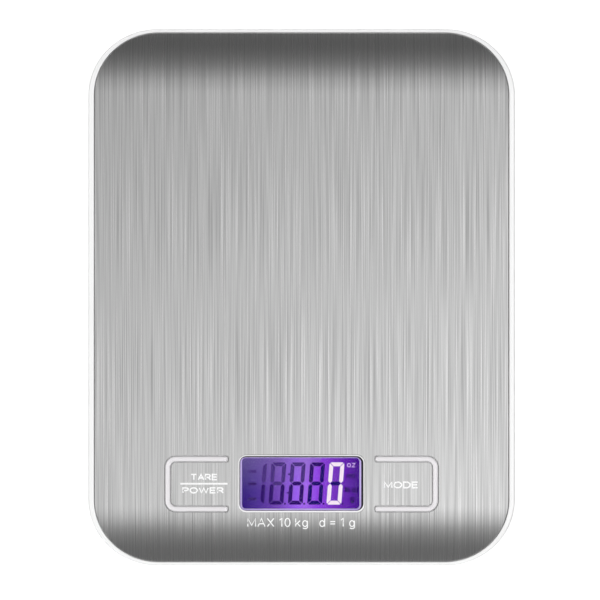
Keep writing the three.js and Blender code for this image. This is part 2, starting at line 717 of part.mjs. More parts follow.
add("battery_right_facing", battery(1), MATERIALS.batterySleeve);
add("battery_left_facing", battery(-1), MATERIALS.batterySleeve);
add("battery_link_contact", linkContact(), MATERIALS.springSteel);
add("battery_spring_contact", springContact(), MATERIALS.springSteel);
add("battery_flat_contact", flatContact(), MATERIALS.springSteel);
add("battery_lead_positive", batteryLead(CELL_PITCH / 2, 8, -19), MATERIALS.redWire);
add("battery_lead_negative", batteryLead(-CELL_PITCH / 2, 5, -15), MATERIALS.blackWire);
add("battery_door", batteryDoor(), MATERIALS.whitePlastic);

export default scale;
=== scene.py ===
"""Looks for the digital gram scale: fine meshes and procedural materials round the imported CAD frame.

Shapes are written in millimetres and turned into metres when a mesh is made.
"""
import json
import math

import bmesh
import bpy
import numpy as np
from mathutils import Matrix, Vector
from mathutils.geometry import delaunay_2d_cdt

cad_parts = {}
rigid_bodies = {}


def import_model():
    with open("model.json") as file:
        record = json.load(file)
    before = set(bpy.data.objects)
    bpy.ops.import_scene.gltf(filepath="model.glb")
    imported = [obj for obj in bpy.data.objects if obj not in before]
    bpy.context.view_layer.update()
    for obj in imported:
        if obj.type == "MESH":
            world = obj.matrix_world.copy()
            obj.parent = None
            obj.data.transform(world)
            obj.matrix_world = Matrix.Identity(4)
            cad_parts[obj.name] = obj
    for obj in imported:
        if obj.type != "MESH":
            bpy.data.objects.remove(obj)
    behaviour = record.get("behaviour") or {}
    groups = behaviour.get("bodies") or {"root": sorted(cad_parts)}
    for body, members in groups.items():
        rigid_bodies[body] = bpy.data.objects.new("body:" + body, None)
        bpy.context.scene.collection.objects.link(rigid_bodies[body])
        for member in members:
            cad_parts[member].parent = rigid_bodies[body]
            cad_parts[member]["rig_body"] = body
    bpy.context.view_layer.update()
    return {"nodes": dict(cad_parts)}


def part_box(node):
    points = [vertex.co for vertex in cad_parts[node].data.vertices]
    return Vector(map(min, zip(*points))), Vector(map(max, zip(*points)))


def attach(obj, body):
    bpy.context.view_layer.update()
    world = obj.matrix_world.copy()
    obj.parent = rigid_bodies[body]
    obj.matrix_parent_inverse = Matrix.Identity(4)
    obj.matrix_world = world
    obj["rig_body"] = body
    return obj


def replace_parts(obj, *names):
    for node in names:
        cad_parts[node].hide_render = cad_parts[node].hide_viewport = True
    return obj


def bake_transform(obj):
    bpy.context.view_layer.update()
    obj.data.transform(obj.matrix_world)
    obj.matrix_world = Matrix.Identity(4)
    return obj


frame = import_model()

MM = 0.001
ROOT = "scale_body"
SIDES = {"tare": -1, "unit": 1}
CORNERS = {"front_left": (-1, -1), "front_right": (1, -1), "back_left": (-1, 1), "back_right": (1, 1)}


def corners_mm(node):
    """Lowest and highest corner of a CAD node, in millimetres."""
    low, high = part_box(node)
    return low / MM, high / MM


def halfway(low, high):
    return tuple((a + b) / 2 for a, b in zip(low, high))


# Sizes read from the frame
SHELL_HIGH = corners_mm("top_shell")[1]
BASE_LOW = corners_mm("bottom_shell")[0]
COVER_LOW, COVER_HIGH = corners_mm("steel_cover")
LENS_LOW, LENS_HIGH = corners_mm("display_lens")
LCD_LOW, LCD_HIGH = corners_mm("lcd_panel")
DOOR_LOW, DOOR_HIGH = corners_mm("battery_door")
PAD_LOW, PAD_HIGH = corners_mm("foot_pad_back_right")
CUP_LOW, CUP_HIGH = corners_mm("foot_cup_back_right")
TOP = COVER_HIGH.z
PANEL_Y = halfway(LENS_LOW, LENS_HIGH)[1]
FOOT_X, FOOT_Y, _ = halfway(PAD_LOW, PAD_HIGH)
SCREW_X, SCREW_Y, _ = halfway(*corners_mm("case_screw_back_right"))

# Sizes that the frame doesn't give
FLAT_HALF = 87  # the platform is flat for |y| up to here
ROLL_R = 69  # and rolls down beyond it
CORNER_R = 29
OUTER = (SHELL_HIGH.x + 0.3, SHELL_HIGH.y + 0.7)  # half the width and length of the body
STEEL_HALF = (OUTER[0] - 2.9, OUTER[1] - 2.0)  # and of the steel cover
STEEL_R = CORNER_R - 2.2
SHEET = 0.5  # thickness of the steel
DECK_TOP, DECK_BOTTOM = 17, 15.4
PARTING = 8.5  # seam between the two shells
SEAM_HALF = 0.1
# Rounded rectangles, each as its width, depth, corner radius and centre
WINDOW = (52.6, 23.7, 3.0, (0, PANEL_Y))
VIEW = (49.8, 21.5, 1.5, (-0.37, PANEL_Y))
LENS = (51.1, 22.3, 2.2, (-0.38, PANEL_Y - 0.06))
LIP_INSIDE = (52.4, 23.1, 3.0, (-0.08, PANEL_Y + 0.2))
FRAME_LIP = (53.35, 24.3, 3.4, (-0.08, PANEL_Y + 0.07))  # outer edge of the white line round the window
# The ridge round a button
BRACKET_X, BRACKET_HALF_Y, BRACKET_R, BRACKET_END = 56.5, 10.55, 3.5, 32.2
BEND = [BRACKET_END + d for d in (0.5, 1, 1.5, 2, 2.5, 3, 4, 6)]  # x values of lines across a button's steel, from its root
SLOT_HALF = 1.5


# ---- Outlines: arrays of points and of outward normals, both in plan ----

def drop(y):
    """How far the rolled ends lie under the flat middle."""
    past = max(0.0, abs(y) - FLAT_HALF)
    return ROLL_R - math.sqrt(ROLL_R ** 2 - past ** 2)


def on(height):
    """A height that follows the rolled ends."""
    return lambda x, y: height - drop(y)


def rounded(size_x, size_y, radius, steps, centre=(0, 0)):
    points, normals = [], []
    for quarter, (sx, sy) in enumerate(((1, 1), (-1, 1), (-1, -1), (1, -1))):
        for k in range(steps + 1):
            angle = (quarter + k / steps) * math.pi / 2
            nx, ny = math.cos(angle), math.sin(angle)
            points.append((
                centre[0] + sx * (size_x / 2 - radius) + radius * nx,
                centre[1] + sy * (size_y / 2 - radius) + radius * ny,
            ))
            normals.append((nx, ny))
    return np.array(points), np.array(normals)


def circle(x, y, radius, steps):
    angles = np.arange(steps) * 2 * math.pi / steps
    normals = np.column_stack((np.cos(angles), np.sin(angles)))
    return np.array((x, y)) + normals * radius, normals


def crossed(outline, values, axis=1):
    """The outline with a point added wherever it crosses one of the given x or y values."""
    points, normals = outline
    out_points, out_normals = [], []
    for k in range(len(points)):
        a, b = points[k], points[(k + 1) % len(points)]
        na, nb = normals[k], normals[(k + 1) % len(points)]
        out_points.append(a)
        out_normals.append(na)
        span = b[axis] - a[axis]
        hits = sorted((v - a[axis]) / span for v in values if abs(span) > 1e-9)
        for t in (t for t in hits if 1e-4 < t < 1 - 1e-4):
            normal = na + (nb - na) * t
            out_points.append(a + (b - a) * t)
            out_normals.append(normal / np.linalg.norm(normal))
    return np.array(out_points), np.array(out_normals)


def moved(outline, distance):
    """The outline's points moved outwards by a distance."""
    return outline[0] + outline[1] * distance


def bracket_line():
    """Centre line of the ridge round the right-hand button, from its back arm's end to its front arm's end."""
    steps = 10
    x, half_y, r = BRACKET_X - BRACKET_R, BRACKET_HALF_Y - BRACKET_R, BRACKET_R
    points, normals = [(BRACKET_END, BRACKET_HALF_Y)], [(0, 1)]
    for sign, start in ((1, math.pi / 2), (-1, 0)):
        for k in range(steps + 1):
            angle = start - k / steps * math.pi / 2
            normals.append((math.cos(angle), math.sin(angle)))
            points.append((x + r * normals[-1][0], sign * half_y + r * normals[-1][1]))
    points.append((BRACKET_END, -BRACKET_HALF_Y))
    normals.append((0, -1))
    return np.array(points), np.array(normals)


def cap_arc(start):
    """Directions round an arm's blunt end, from the angle start through the side that faces the display."""
    steps, bluntness = 12, 0.62
    turn = np.array([start + k / steps * math.pi for k in range(1, steps)])
    return np.column_stack([np.sign(f(turn)) * np.abs(f(turn)) ** bluntness for f in (np.cos, np.sin)])


def on_side(side, points, normals):
    """An outline drawn for the right-hand button, placed on the button of that side."""
    mirror = np.array((SIDES[side], 1))
    points, normals = points * mirror + np.array((0, PANEL_Y)), normals * mirror
    return (points[::-1], normals[::-1]) if SIDES[side] < 0 else (points, normals)


def band(half):
    """Outline of the bracket-shaped band of the given half width, drawn for the right-hand button."""
    line, normals = bracket_line()
    front = cap_arc(-math.pi / 2 - math.pi)[::-1]
    back = cap_arc(math.pi / 2)[::-1]
    centres = np.concatenate((line, np.repeat(line[-1:], len(front), 0), line[::-1], np.repeat(line[:1], len(back), 0)))
    outward = np.concatenate((normals, front, -normals[::-1], back))
    return centres + outward * half, outward


def slot_hole():
    """Hole in the cover round a button: the slot and all the steel inside it."""
    points, normals = band(SLOT_HALF)
    side = len(bracket_line()[0])
    cap = (len(points) - 2 * side) // 2
    keep = list(range(side + cap)) + [side + cap, 2 * side + cap - 1] + list(range(2 * side + cap, len(points)))
    return points[keep], normals[keep]


def tongue_outline():
    """The steel inside the slot."""
    line, normals = bracket_line()
    return line - normals * SLOT_HALF, normals


# ---- Meshes ----

class Shape:
    """A mesh in the making: points in millimetres, and faces."""

    def __init__(self):
        self.points = []
        self.faces = []

    def ring(self, outline, z):
        start = len(self.points)
        for x, y in outline:
            self.points.append((x, y, z(x, y) if callable(z) else z))
        return list(range(start, len(self.points)))

    def rings(self, outline, levels):
        """A ring for each (how far out, height) pair."""
        return [self.ring(moved(outline, away), z) for away, z in levels]

    def skin(self, *rings, closed=False):
        pairs = list(zip(rings, rings[1:])) + ([(rings[-1], rings[0])] if closed else [])
        for low, high in pairs:
            for k in range(len(low)):
                n = (k + 1) % len(low)
                self.faces.append((low[k], low[n], high[n], high[k]))

    def cap(self, loops, lines=(), z=None):
        """Fills the space inside the first loop and outside the others. lines are pairs of indices to join."""
        used = [k for loop in loops for k in loop]
        place = {k: n for n, k in enumerate(used)}
        flat = [Vector(self.points[k][:2]) for k in used]
        edges = [(place[a], place[b]) for loop in loops for a, b in zip(loop, loop[1:] + loop[:1])]
        walls = np.array([[*flat[a], *flat[b]] for a, b in edges])
        edges += [(place[a], place[b]) for a, b in lines]
        verts, _, faces, origins, _, _ = delaunay_2d_cdt(flat, edges, [], 0, 1e-6)
        index = []
        for v, origin in zip(verts, origins):
            if origin:
                index.append(used[origin[0]])
            else:
                self.points.append((v.x, v.y, z(v.x, v.y) if callable(z) else z))
                index.append(len(self.points) - 1)
        for face in faces:
            x, y = sum((verts[k] for k in face), Vector((0, 0))) / len(face)
            spans = (walls[:, 1] > y) != (walls[:, 3] > y)
            x1, y1, x2, y2 = walls[spans].T
            if np.count_nonzero(x1 + (y - y1) / (y2 - y1) * (x2 - x1) > x) % 2:
                self.faces.append(tuple(index[k] for k in face))

    def solid(self, rings):
        """Skin over the rings, and a flat face over the first and the last."""
        self.skin(*rings)
        self.cap([rings[0]])
        self.cap([rings[-1]])

    def tube(self, path, radius, sides):
        """A round bar along a list of points, with flat ends."""
        path = [Vector(p) for p in path]
        across = (path[1] - path[0]).orthogonal().normalized()
        rings = []
        for k, p in enumerate(path):
            along = (path[min(k + 1, len(path) - 1)] - path[max(k - 1, 0)]).normalized()
            across = (across - along * across.dot(along)).normalized()
            other = along.cross(across)
            start = len(self.points)
            for n in range(sides):
                angle = 2 * math.pi * n / sides
                self.points.append(tuple(p + (across * math.cos(angle) + other * math.sin(angle)) * radius))
            rings.append(list(range(start, start + sides)))
        self.skin(*rings)
        self.faces += [tuple(rings[0]), tuple(rings[-1])]

    def turned(self, profile, centre=(0, 0), segments=64):
        """Adds an upright solid of revolution, from (radius, z) pairs that start and end on the axis."""
        rings = [self.ring(circle(*centre, r, segments)[0], z) for r, z in profile[1:-1]]
        for ring, z in ((rings[0], profile[0][1]), (rings[-1], profile[-1][1])):
            self.points.append((*centre, z))
            for k in range(segments):
                self.faces.append((ring[k], ring[(k + 1) % segments], len(self.points) - 1))
        self.skin(*rings)
        return self

    def mesh(self, name):
        mesh = bpy.data.meshes.new(name)
        mesh.from_pydata([(x * MM, y * MM, z * MM) for x, y, z in self.points], [], self.faces)
        return mesh

    def made(self, name, look, body=ROOT, sharp=40):
        return finished(name, self.mesh(name), look, body, sharp)


def finished(name, mesh, look, body, sharp=40):
    """An object from a mesh: faces turned outwards, smooth below the sharp angle, riding on a body if one is given."""
    bm = bmesh.new()
    bm.from_mesh(mesh)
    bmesh.ops.remove_doubles(bm, verts=bm.verts, dist=1e-8)
    bmesh.ops.recalc_face_normals(bm, faces=bm.faces)
    bm.to_mesh(mesh)
    bm.free()
    mesh.shade_smooth()
    mesh.set_sharp_from_angle(angle=math.radians(sharp))
    mesh.materials.clear()
    mesh.materials.append(look)
    piece = bpy.data.objects.new(name, mesh)
    bpy.context.scene.collection.objects.link(piece)
    if body:
        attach(piece, body)
    return piece


def quarter_turn(steps):
    return [k / steps * math.pi / 2 for k in range(steps + 1)]


def rounding(radius, steps):
    """Quarter circle as (how far in, how far down) pairs, from the top of a rounded edge to its side."""
    return [(radius * (1 - math.sin(a)), radius * (1 - math.cos(a))) for a in quarter_turn(steps)]


def slab(name, outline, low, high, look, edge, body=ROOT):
    """A flat plate with all its edges rounded."""
    corner = rounding(edge, 4)
    levels = [(-inward, low + down) for inward, down in corner]
    levels += [(-inward, high - down) for inward, down in reversed(corner)]
    shape = Shape()
    shape.solid(shape.rings(outline, levels))
    return shape.made(name, look, body)


def plan(size, steps):
    """Outline of a rounded rectangle given as (width, depth, corner radius, centre)."""
    return rounded(*size[:3], steps, size[3])


def framed(name, profile, look):
    """A frame with a closed section, from (rounded rectangle, height) pairs."""
    shape = Shape()
    rings = [shape.ring(plan(size, 8)[0], z) for size, z in profile]
    shape.skin(*rings, closed=True)
    return shape.made(name, look)


def refined(node, look, edge, name=None):
    """A CAD node's shape with its edges rounded, which replaces it."""
    name = name or f"{node}_fine"
    source = frame["nodes"][node]
    bm = bmesh.new()
    bm.from_mesh(source.data)
    bmesh.ops.remove_doubles(bm, verts=bm.verts, dist=1e-7)
    bmesh.ops.dissolve_limit(bm, angle_limit=math.radians(2), verts=bm.verts, edges=bm.edges)
    sharp = [e for e in bm.edges if len(e.link_faces) == 2 and e.calc_face_angle(0) > math.radians(35)]
    bmesh.ops.bevel(bm, geom=sharp, offset=edge * MM, segments=3, affect="EDGES", profile=0.5, clamp_overlap=True)
    mesh = bpy.data.meshes.new(name)
    bm.to_mesh(mesh)
    bm.free()
    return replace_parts(finished(name, mesh, look, source["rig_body"]), node)


# ---- Materials ----

class Nodes:
    """A node tree in the making."""

    def __init__(self, tree):
        self.nodes = tree.nodes
        self.links = tree.links

    def fill(self, socket, value):
        """Sets a socket to a number, or links it to another node's socket."""
        if isinstance(value, bpy.types.NodeSocket):
            self.links.new(value, socket)
        else:
            socket.default_value = value

    def node(self, kind, inputs=None, **settings):
        made = self.nodes.new(kind)
        for key, value in settings.items():
            setattr(made, key, value)
        for key, value in (inputs or {}).items():
            self.fill(made.inputs[key], value)
        return made

    def axes(self, space):
        """The x, y and z of a texture space."""
        where = self.node("ShaderNodeTexCoord").outputs[space]
        return list(self.node("ShaderNodeSeparateXYZ", {0: where}).outputs)

    def math(self, operation, a, b=0.0):
        return self.node("ShaderNodeMath", {0: a, 1: b}, operation=operation).outputs[0]

    def span(self, value, low, high, to_low, to_high, kind="LINEAR"):
        """value from low..high, mapped to to_low..to_high."""
        return self.node("ShaderNodeMapRange", {
            "Value": value, "From Min": low, "From Max": high, "To Min": to_low, "To Max": to_high,
        }, interpolation_type=kind).outputs[0]

    def ramp(self, value, stops):
        made = self.node("ShaderNodeValToRGB", {"Fac": value})
        elements = made.color_ramp.elements
        while len(elements) < len(stops):
            elements.new(0.5)
        for element, (at, colour) in zip(elements, stops):
            element.position = at
            element.color = (*colour, 1)
        return made.outputs["Color"]


class Look(Nodes):
    """A node-based material in the making. Texture places are object coordinates, in metres."""

    def __init__(self, name, slot, colour, roughness, metallic=0.0, **sockets):
        self.material = bpy.data.materials.new(name)
        self.material.use_nodes = True
        self.material["slot"] = slot
        super().__init__(self.material.node_tree)
        self.shader = self.nodes["Principled BSDF"]
        self.put((*colour, 1), "Base Color")
        self.put(roughness, "Roughness")
        self.put(metallic, "Metallic")
        for socket, value in sockets.items():
            self.put(value, socket.replace("_", " "))

    def put(self, value, socket):
        self.fill(self.shader.inputs[socket], value)

    def place(self, scale):
        where = self.node("ShaderNodeTexCoord").outputs["Object"]
        return self.node("ShaderNodeMapping", {"Vector": where, "Scale": scale}).outputs[0]

    def noise(self, scale, detail, roughness=0.55):
        """Noise from 0 to 1; scale is per metre, one number or one for each axis."""
        stretch = (scale,) * 3 if isinstance(scale, (int, float)) else scale
        return self.node("ShaderNodeTexNoise", {
            "Vector": self.place(stretch), "Scale": 1.0, "Detail": detail, "Roughness": roughness,
        }).outputs["Fac"]

    def tint(self, noise, low, high, start, end, socket="Base Color"):
        """Colour that goes from start to end as the noise goes from low to high."""
        self.put(self.ramp(noise, [(low, start), (high, end)]), socket)

    def bump(self, height, depth, strength):
        """depth is the height of the bumps in millimetres."""
        self.put(self.node("ShaderNodeBump", {
            "Height": height, "Distance": depth * MM, "Strength": strength,
        }).outputs["Normal"], "Normal")

    def gloss(self, value, low, high, rough_low, rough_high):
        """Roughness that goes from rough_low to rough_high as the value goes from low to high."""
        self.put(self.span(value, low, high, rough_low, rough_high), "Roughness")

    def mix(self, factor, a, b):
        made = self.node("ShaderNodeMix", {"Factor": factor}, data_type="RGBA")
        self.fill(made.inputs[6], a)
        self.fill(made.inputs[7], b)
        return made.outputs[2]


def shaded(colour, factor):
    return [c * factor for c in colour]


def plastic(name, slot, colour, roughness, grain, depth, shade=0.04):
    """Moulded plastic: a fine moulded grain, and slow changes of tone and gloss."""
    look = Look(name, slot, colour, roughness)
    slow, fine = look.noise(22, 2), look.noise(grain, 2)
    look.tint(slow, 0.3, 0.7, shaded(colour, 1 - shade), colour)
    worn = look.math("ADD", look.span(slow, 0.3, 0.7, -0.03, 0.03), look.span(fine, 0.3, 0.7, -0.04, 0.04))
    look.put(look.math("ADD", worn, roughness), "Roughness")
    look.bump(fine, depth, 0.6)
    return look.material


def brushed_steel():
    """Stainless sheet brushed from front to back: streaks of several widths, all along Y."""
    look = Look("brushed_stainless", "brushed_steel", (0.36, 0.36, 0.36), 0.3, 1.0, Anisotropic=0.75)
    fine = look.noise((4800, 24, 0), 2, 0.6)
    hair = look.noise((2700, 15, 0), 0, 0.5)
    streak = look.noise((900, 9, 0), 3, 0.65)
    tone = look.math("ADD", look.math("MULTIPLY", hair, 0.48), look.math("MULTIPLY", streak, 0.17))
    tone = look.math("ADD", tone, look.math("MULTIPLY", fine, 0.35))
    greys = [(0.30, 0.235), (0.44, 0.312), (0.56, 0.382), (0.70, 0.480)]
    look.put(look.ramp(tone, [(at, (grey,) * 3) for at, grey in greys]), "Base Color")
    look.gloss(tone, 0.3, 0.7, 0.36, 0.25)
    look.bump(hair, 0.01, 0.25)
    tangent = look.node("ShaderNodeTangent", direction_type="UV_MAP", uv_map="plan")
    look.put(tangent.outputs[0], "Tangent")
    return look.material


def clear_acrylic():
    look = Look("window_acrylic", "clear_acrylic", (0.01, 0.01, 0.015), 0.04, Alpha=0.07)
    look.gloss(look.noise(60, 3), 0.35, 0.75, 0.03, 0.09)
    return look.material


def lcd_backlit():
    """Purple backlight: brightest in the middle, bluer at the left end, and a painted glare over its back left part: a
    paler area with a diagonal edge that stands in for a reflection in the glass.
    """
    look = Look("lcd_purple", "lcd", (0.006, 0.003, 0.015), 0.2, Emission_Strength=1.0, Specular_IOR_Level=0.03)
    x, y, _ = look.axes("Object")
    across = look.span(x, LCD_LOW.x * MM, LCD_HIGH.x * MM, 0, 1)
    up = look.span(y, LCD_LOW.y * MM, LCD_HIGH.y * MM, 0, 1)
    purple = look.ramp(across, [
        (0.05, (0.036, 0.010, 0.215)), (0.15, (0.075, 0.026, 0.310)), (0.30, (0.165, 0.056, 0.470)),
        (0.46, (0.355, 0.120, 0.930)), (0.53, (0.395, 0.145, 0.900)), (0.62, (0.300, 0.057, 0.840)),
        (0.69, (0.250, 0.045, 0.710)), (0.77, (0.185, 0.026, 0.540)), (0.87, (0.120, 0.008, 0.430)),
        (0.95, (0.062, 0.004, 0.275)),
    ])
    # Painted glare: paler left of a diagonal edge and stronger towards the back, a reflection painted into the
    # backlight
    inside = look.math("SUBTRACT", look.math("MULTIPLY", up, 0.34), look.math("SUBTRACT", across, 0.36))
    painted_glare = look.span(inside, 0.0, 0.02, 0.0, 1.0)
    amount = look.math("MULTIPLY", painted_glare, look.span(up, 0.35, 1.0, 0.0, 0.45))
    look.put(look.mix(amount, purple, (0.26, 0.20, 0.42, 1)), "Emission Color")
    look.gloss(look.noise(900, 2), 0, 1, 0.15, 0.25)
    return look.material


def lcd_ink(name, colour, strength=1.0):
    """Display segments: a colour of their own glow, mottled a little as liquid crystal is."""
    look = Look(f"segment_{name}", "lcd", shaded(colour, 0.05), 0.3, Emission_Strength=strength,
                Specular_IOR_Level=0.03)
    look.tint(look.noise(700, 2), 0.3, 0.7, shaded(colour, 0.93), colour, "Emission Color")
    return look.material


def painted_glow_edge():
    """White plastic slope beside the LCD, with a painted purple glow that stands in for the LCD's light falling on it.
    """
    look = Look("painted_glow_edge", "white_shell", (0.68, 0.58, 0.92), 0.35, Emission_Strength=0.22)
    look.tint(look.noise(90, 2), 0.3, 0.7, (0.50, 0.30, 0.95), (0.62, 0.42, 1.0), "Emission Color")
    look.bump(look.noise(4000, 2), 0.008, 0.5)
    return look.material


def printed_ink():
    """White screen print, a little thin over the brushing."""
    look = Look("white_print", "white_shell", (0.9, 0.9, 0.9), 0.45)
    thin = look.noise((4000, 60, 0), 2)
    look.tint(thin, 0.3, 0.6, (0.88,) * 3, (0.97,) * 3)
    look.bump(thin, 0.004, 0.5)
    return look.material


def soft_rubber(name, slot, colour):
    look = Look(name, slot, colour, 0.72)
    pores, dust = look.noise(14000, 3), look.noise(120, 4)
    look.tint(dust, 0.35, 0.65, shaded(colour, 0.82), colour)
    look.gloss(pores, 0.3, 0.7, 0.62, 0.82)
    look.bump(pores, 0.03, 0.7)
    return look.material


def plain_metal(name, slot, colour, roughness):
    """Plated or rolled metal with faint scratches and tarnish."""
    look = Look(name, slot, colour, roughness, 1.0)
    tarnish, scratch = look.noise(260, 4), look.noise((600, 9000, 900), 2)
    look.tint(tarnish, 0.35, 0.6, shaded(colour, 0.72), colour)
    look.gloss(scratch, 0.3, 0.7, roughness - 0.08, roughness + 0.14)
    look.bump(scratch, 0.01, 0.35)
    return look.material


def solder_mask():
    """Green circuit board: copper tracks showing through the mask as raised, paler lines."""
    look = Look("solder_mask", "circuit_board", (0.02, 0.20, 0.07), 0.32, Coat_Weight=0.3)
    brick = look.node("ShaderNodeTexBrick", {
        "Vector": look.place((260, 260, 260)), "Scale": 1.0, "Mortar Size": 0.06, "Bias": 0.0,
        "Color1": (0.012, 0.13, 0.045, 1), "Color2": (0.016, 0.16, 0.055, 1), "Mortar": (0.05, 0.30, 0.10, 1),
    })
    look.put(brick.outputs["Color"], "Base Color")
    look.bump(brick.outputs["Fac"], 0.03, 0.8)
    look.gloss(look.noise(700, 3), 0, 1, 0.24, 0.42)
    return look.material


def cell_jacket():
    """Printed steel jacket of an AAA cell, in a plain blue-grey."""
    look = Look("cell_jacket", "battery_sleeve", (0.05, 0.20, 0.33), 0.28, 0.35, Coat_Weight=0.4)
    look.tint(look.noise(3000, 2), 0.3, 0.7, (0.040, 0.170, 0.290), (0.060, 0.225, 0.360))
    look.gloss(look.noise(500, 3), 0, 1, 0.2, 0.36)
    return look.material


STEEL = brushed_steel()
WHITE = plastic("white_abs_gloss", "white_shell", (0.91, 0.91, 0.91), 0.24, grain=2500, depth=0.006, shade=0.02)
WHITE_GRAINED = plastic("white_abs_grained", "white_shell", (0.84, 0.84, 0.83), 0.42, grain=7000, depth=0.03)
INNER = plastic("inner_abs", "inner_plastic", (0.78, 0.78, 0.76), 0.5, grain=6000, depth=0.02)
RIDGE = plastic("ridge_abs", "ridge_plastic", (0.80, 0.78, 0.80), 0.16, grain=2500, depth=0.004, shade=0.02)
ACRYLIC = clear_acrylic()
LCD = lcd_backlit()
LIT = lcd_ink("lit", (1.0, 0.86, 1.0), 1.05)
LIT_UNIT = lcd_ink("lit_unit", (0.80, 0.50, 1.0))
# Unlit segments, paler where they lie in the painted glare
GHOST_PALE = lcd_ink("ghost_in_glare", (0.072, 0.030, 0.228))
GHOST_MID = lcd_ink("ghost_middle", (0.026, 0.002, 0.148))
GHOST_DEEP = lcd_ink("ghost_deep", (0.010, 0.000, 0.155))
GHOST_FAINT = lcd_ink("ghost_units", (0.016, 0.000, 0.105))
GHOST_ICON = lcd_ink("ghost_icons", (0.040, 0.014, 0.150))
INK = printed_ink()
PAD = soft_rubber("white_rubber", "white_rubber", (0.70, 0.70, 0.69))
BLACK_RUBBER = soft_rubber("black_rubber", "black_rubber", (0.03, 0.03, 0.03))
# Near-black strip round the lens: a gasket, and painted shadow of the gap round the lens
GASKET_SHADOW = soft_rubber("gasket_painted_shadow", "black_rubber", (0.008, 0.006, 0.012))
# White slope beside the LCD with a painted purple glow
PAINTED_GLOW_EDGE = painted_glow_edge()
SILICONE = soft_rubber("gauge_silicone", "silicone", (0.86, 0.86, 0.84))
SPRING = plain_metal("spring_steel", "spring_steel", (0.52, 0.52, 0.51), 0.28)
ZINC = plain_metal("zinc_plate", "zinc_screw", (0.56, 0.56, 0.53), 0.30)
BOARD = solder_mask()
EPOXY = plastic("potting_resin", "black_epoxy", (0.016, 0.016, 0.018), 0.35, grain=1500, depth=0.05, shade=0.3)
FOAM = plastic("foam_tape", "foam_tape", (0.88, 0.88, 0.88), 0.85, grain=5000, depth=0.15, shade=0.1)
GUIDE = plastic("light_guide", "light_guide", (0.55, 0.35, 0.95), 0.3, grain=2000, depth=0.05)
JACKET = cell_jacket()
RED = plastic("red_wire", "red_wire", (0.55, 0.02, 0.02), 0.4, grain=3000, depth=0.02, shade=0.2)
BLACK = plastic("black_wire", "black_wire", (0.02, 0.02, 0.02), 0.4, grain=3000, depth=0.02, shade=0.3)


# ---- Steel cover and buttons ----

def plan_uv(piece):
    """A UV map that runs along X and Y, so that the brushing's tangent lies along X."""
    layer = piece.data.uv_layers.new(name="plan")
    for loop in piece.data.loops:
        co = piece.data.vertices[loop.vertex_index].co
        layer.data[loop.index].uv = (co.x * 4 + 0.5, co.y * 4 + 0.5)


def steel_outline(margin):
    return rounded(2 * (STEEL_HALF[0] + margin), 2 * (STEEL_HALF[1] + margin), STEEL_R + margin, 24)


def steel_cover():
    edge, lead = 0.22, 0.15
    inset = edge + lead
    strips = [sign * y for sign in (-1, 1) for y in [FLAT_HALF - 1.5, FLAT_HALF, *np.arange(92, 109, 1.7)]]
    near = [-FLAT_HALF + 1.5, -FLAT_HALF]  # those that cross the window and the slots
    skirt = COVER_HIGH.z - drop(COVER_HIGH.y) - COVER_LOW.z
    # The outer edge and the window's edge, as (how far out, how far up) from the inset outline
    outer = [(0, 0)] + [(inset - inward, -down) for inward, down in rounding(edge, 8)]
    outer += [(inset, -skirt), (inset - SHEET, -skirt), (inset - SHEET, -edge), (0, -SHEET)]
    inner = [(0.4, 0)] + [(inward, -down) for inward, down in rounding(0.12, 3)] + [(0, -SHEET), (0.4, -SHEET)]
    shape = Shape()

    def edging(outline, profile):
        rings = shape.rings(outline, [(away, on(TOP + z)) for away, z in profile])
        shape.skin(*rings)
        return rings

    rim = edging(crossed(steel_outline(-inset), strips), outer)
    holes = [edging(crossed(plan(FRAME_LIP, 8), near), inner)]
    holes += [edging(crossed(on_side(side, *slot_hole()), near), [(0, 0), (0, -SHEET)]) for side in SIDES]
    for end, height in ((0, TOP), (-1, TOP - SHEET)):
        loops = [rings[end] for rings in (rim, *holes)]
        level = {}
        for k in sum(loops, []):
            x, y, _ = shape.points[k]
            if any(abs(round(y, 4) - strip) < 1e-3 for strip in strips):
                level.setdefault(round(y, 4), []).append((x, k))
        lines = []
        for row in map(sorted, level.values()):
            lines += [(row[n][1], row[n + 1][1]) for n in range(0, len(row) - 1, 2)]
        shape.cap(loops, lines, on(height))
    piece = shape.made("brushed_cover", STEEL)
    plan_uv(piece)
    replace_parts(piece, "steel_cover")


def steel_button(side):
    """The tongue of sheet inside a slot."""
    outline = on_side(side, *crossed(tongue_outline(), BEND, axis=0))
    shape = Shape()
    faces = shape.rings(outline, [(0, on(TOP)), (0, on(TOP - SHEET))])
    shape.skin(*faces)
    for loop, height in zip(faces, (TOP, TOP - SHEET)):
        lines = []
        for x in BEND:
            ends = [k for k in loop if abs(abs(shape.points[k][0]) - x) < 1e-3]
            lines.append((ends[0], ends[-1]))
        shape.cap([loop], lines, on(height))
    piece = shape.made(f"{side}_key_steel", STEEL, body=None)
    plan_uv(piece)
    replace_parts(piece, f"{side}_button_tongue")
    bend_with_button(piece)


def bend_with_button(piece):
    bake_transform(piece)


def ridge(side):
    """The raised round-topped band about a button."""
    low, high = corners_mm(f"{side}_button_ridge")
    half, shoulder, crown = 1.14, TOP - 0.6, high.z + 0.05
    levels = [(half - 0.15, low.z), (half, low.z + 0.15)]
    levels += [(half * math.cos(a) ** 0.9, shoulder + (crown - shoulder) * math.sin(a)) for a in quarter_turn(10)[:-1]]
    shape = Shape()
    shape.solid([shape.ring(on_side(side, *band(h))[0], on(z)) for h, z in levels])
    piece = shape.made(f"{side}_ridge", RIDGE, sharp=60)
    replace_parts(piece, f"{side}_button_ridge")


# ---- Printed legends ----

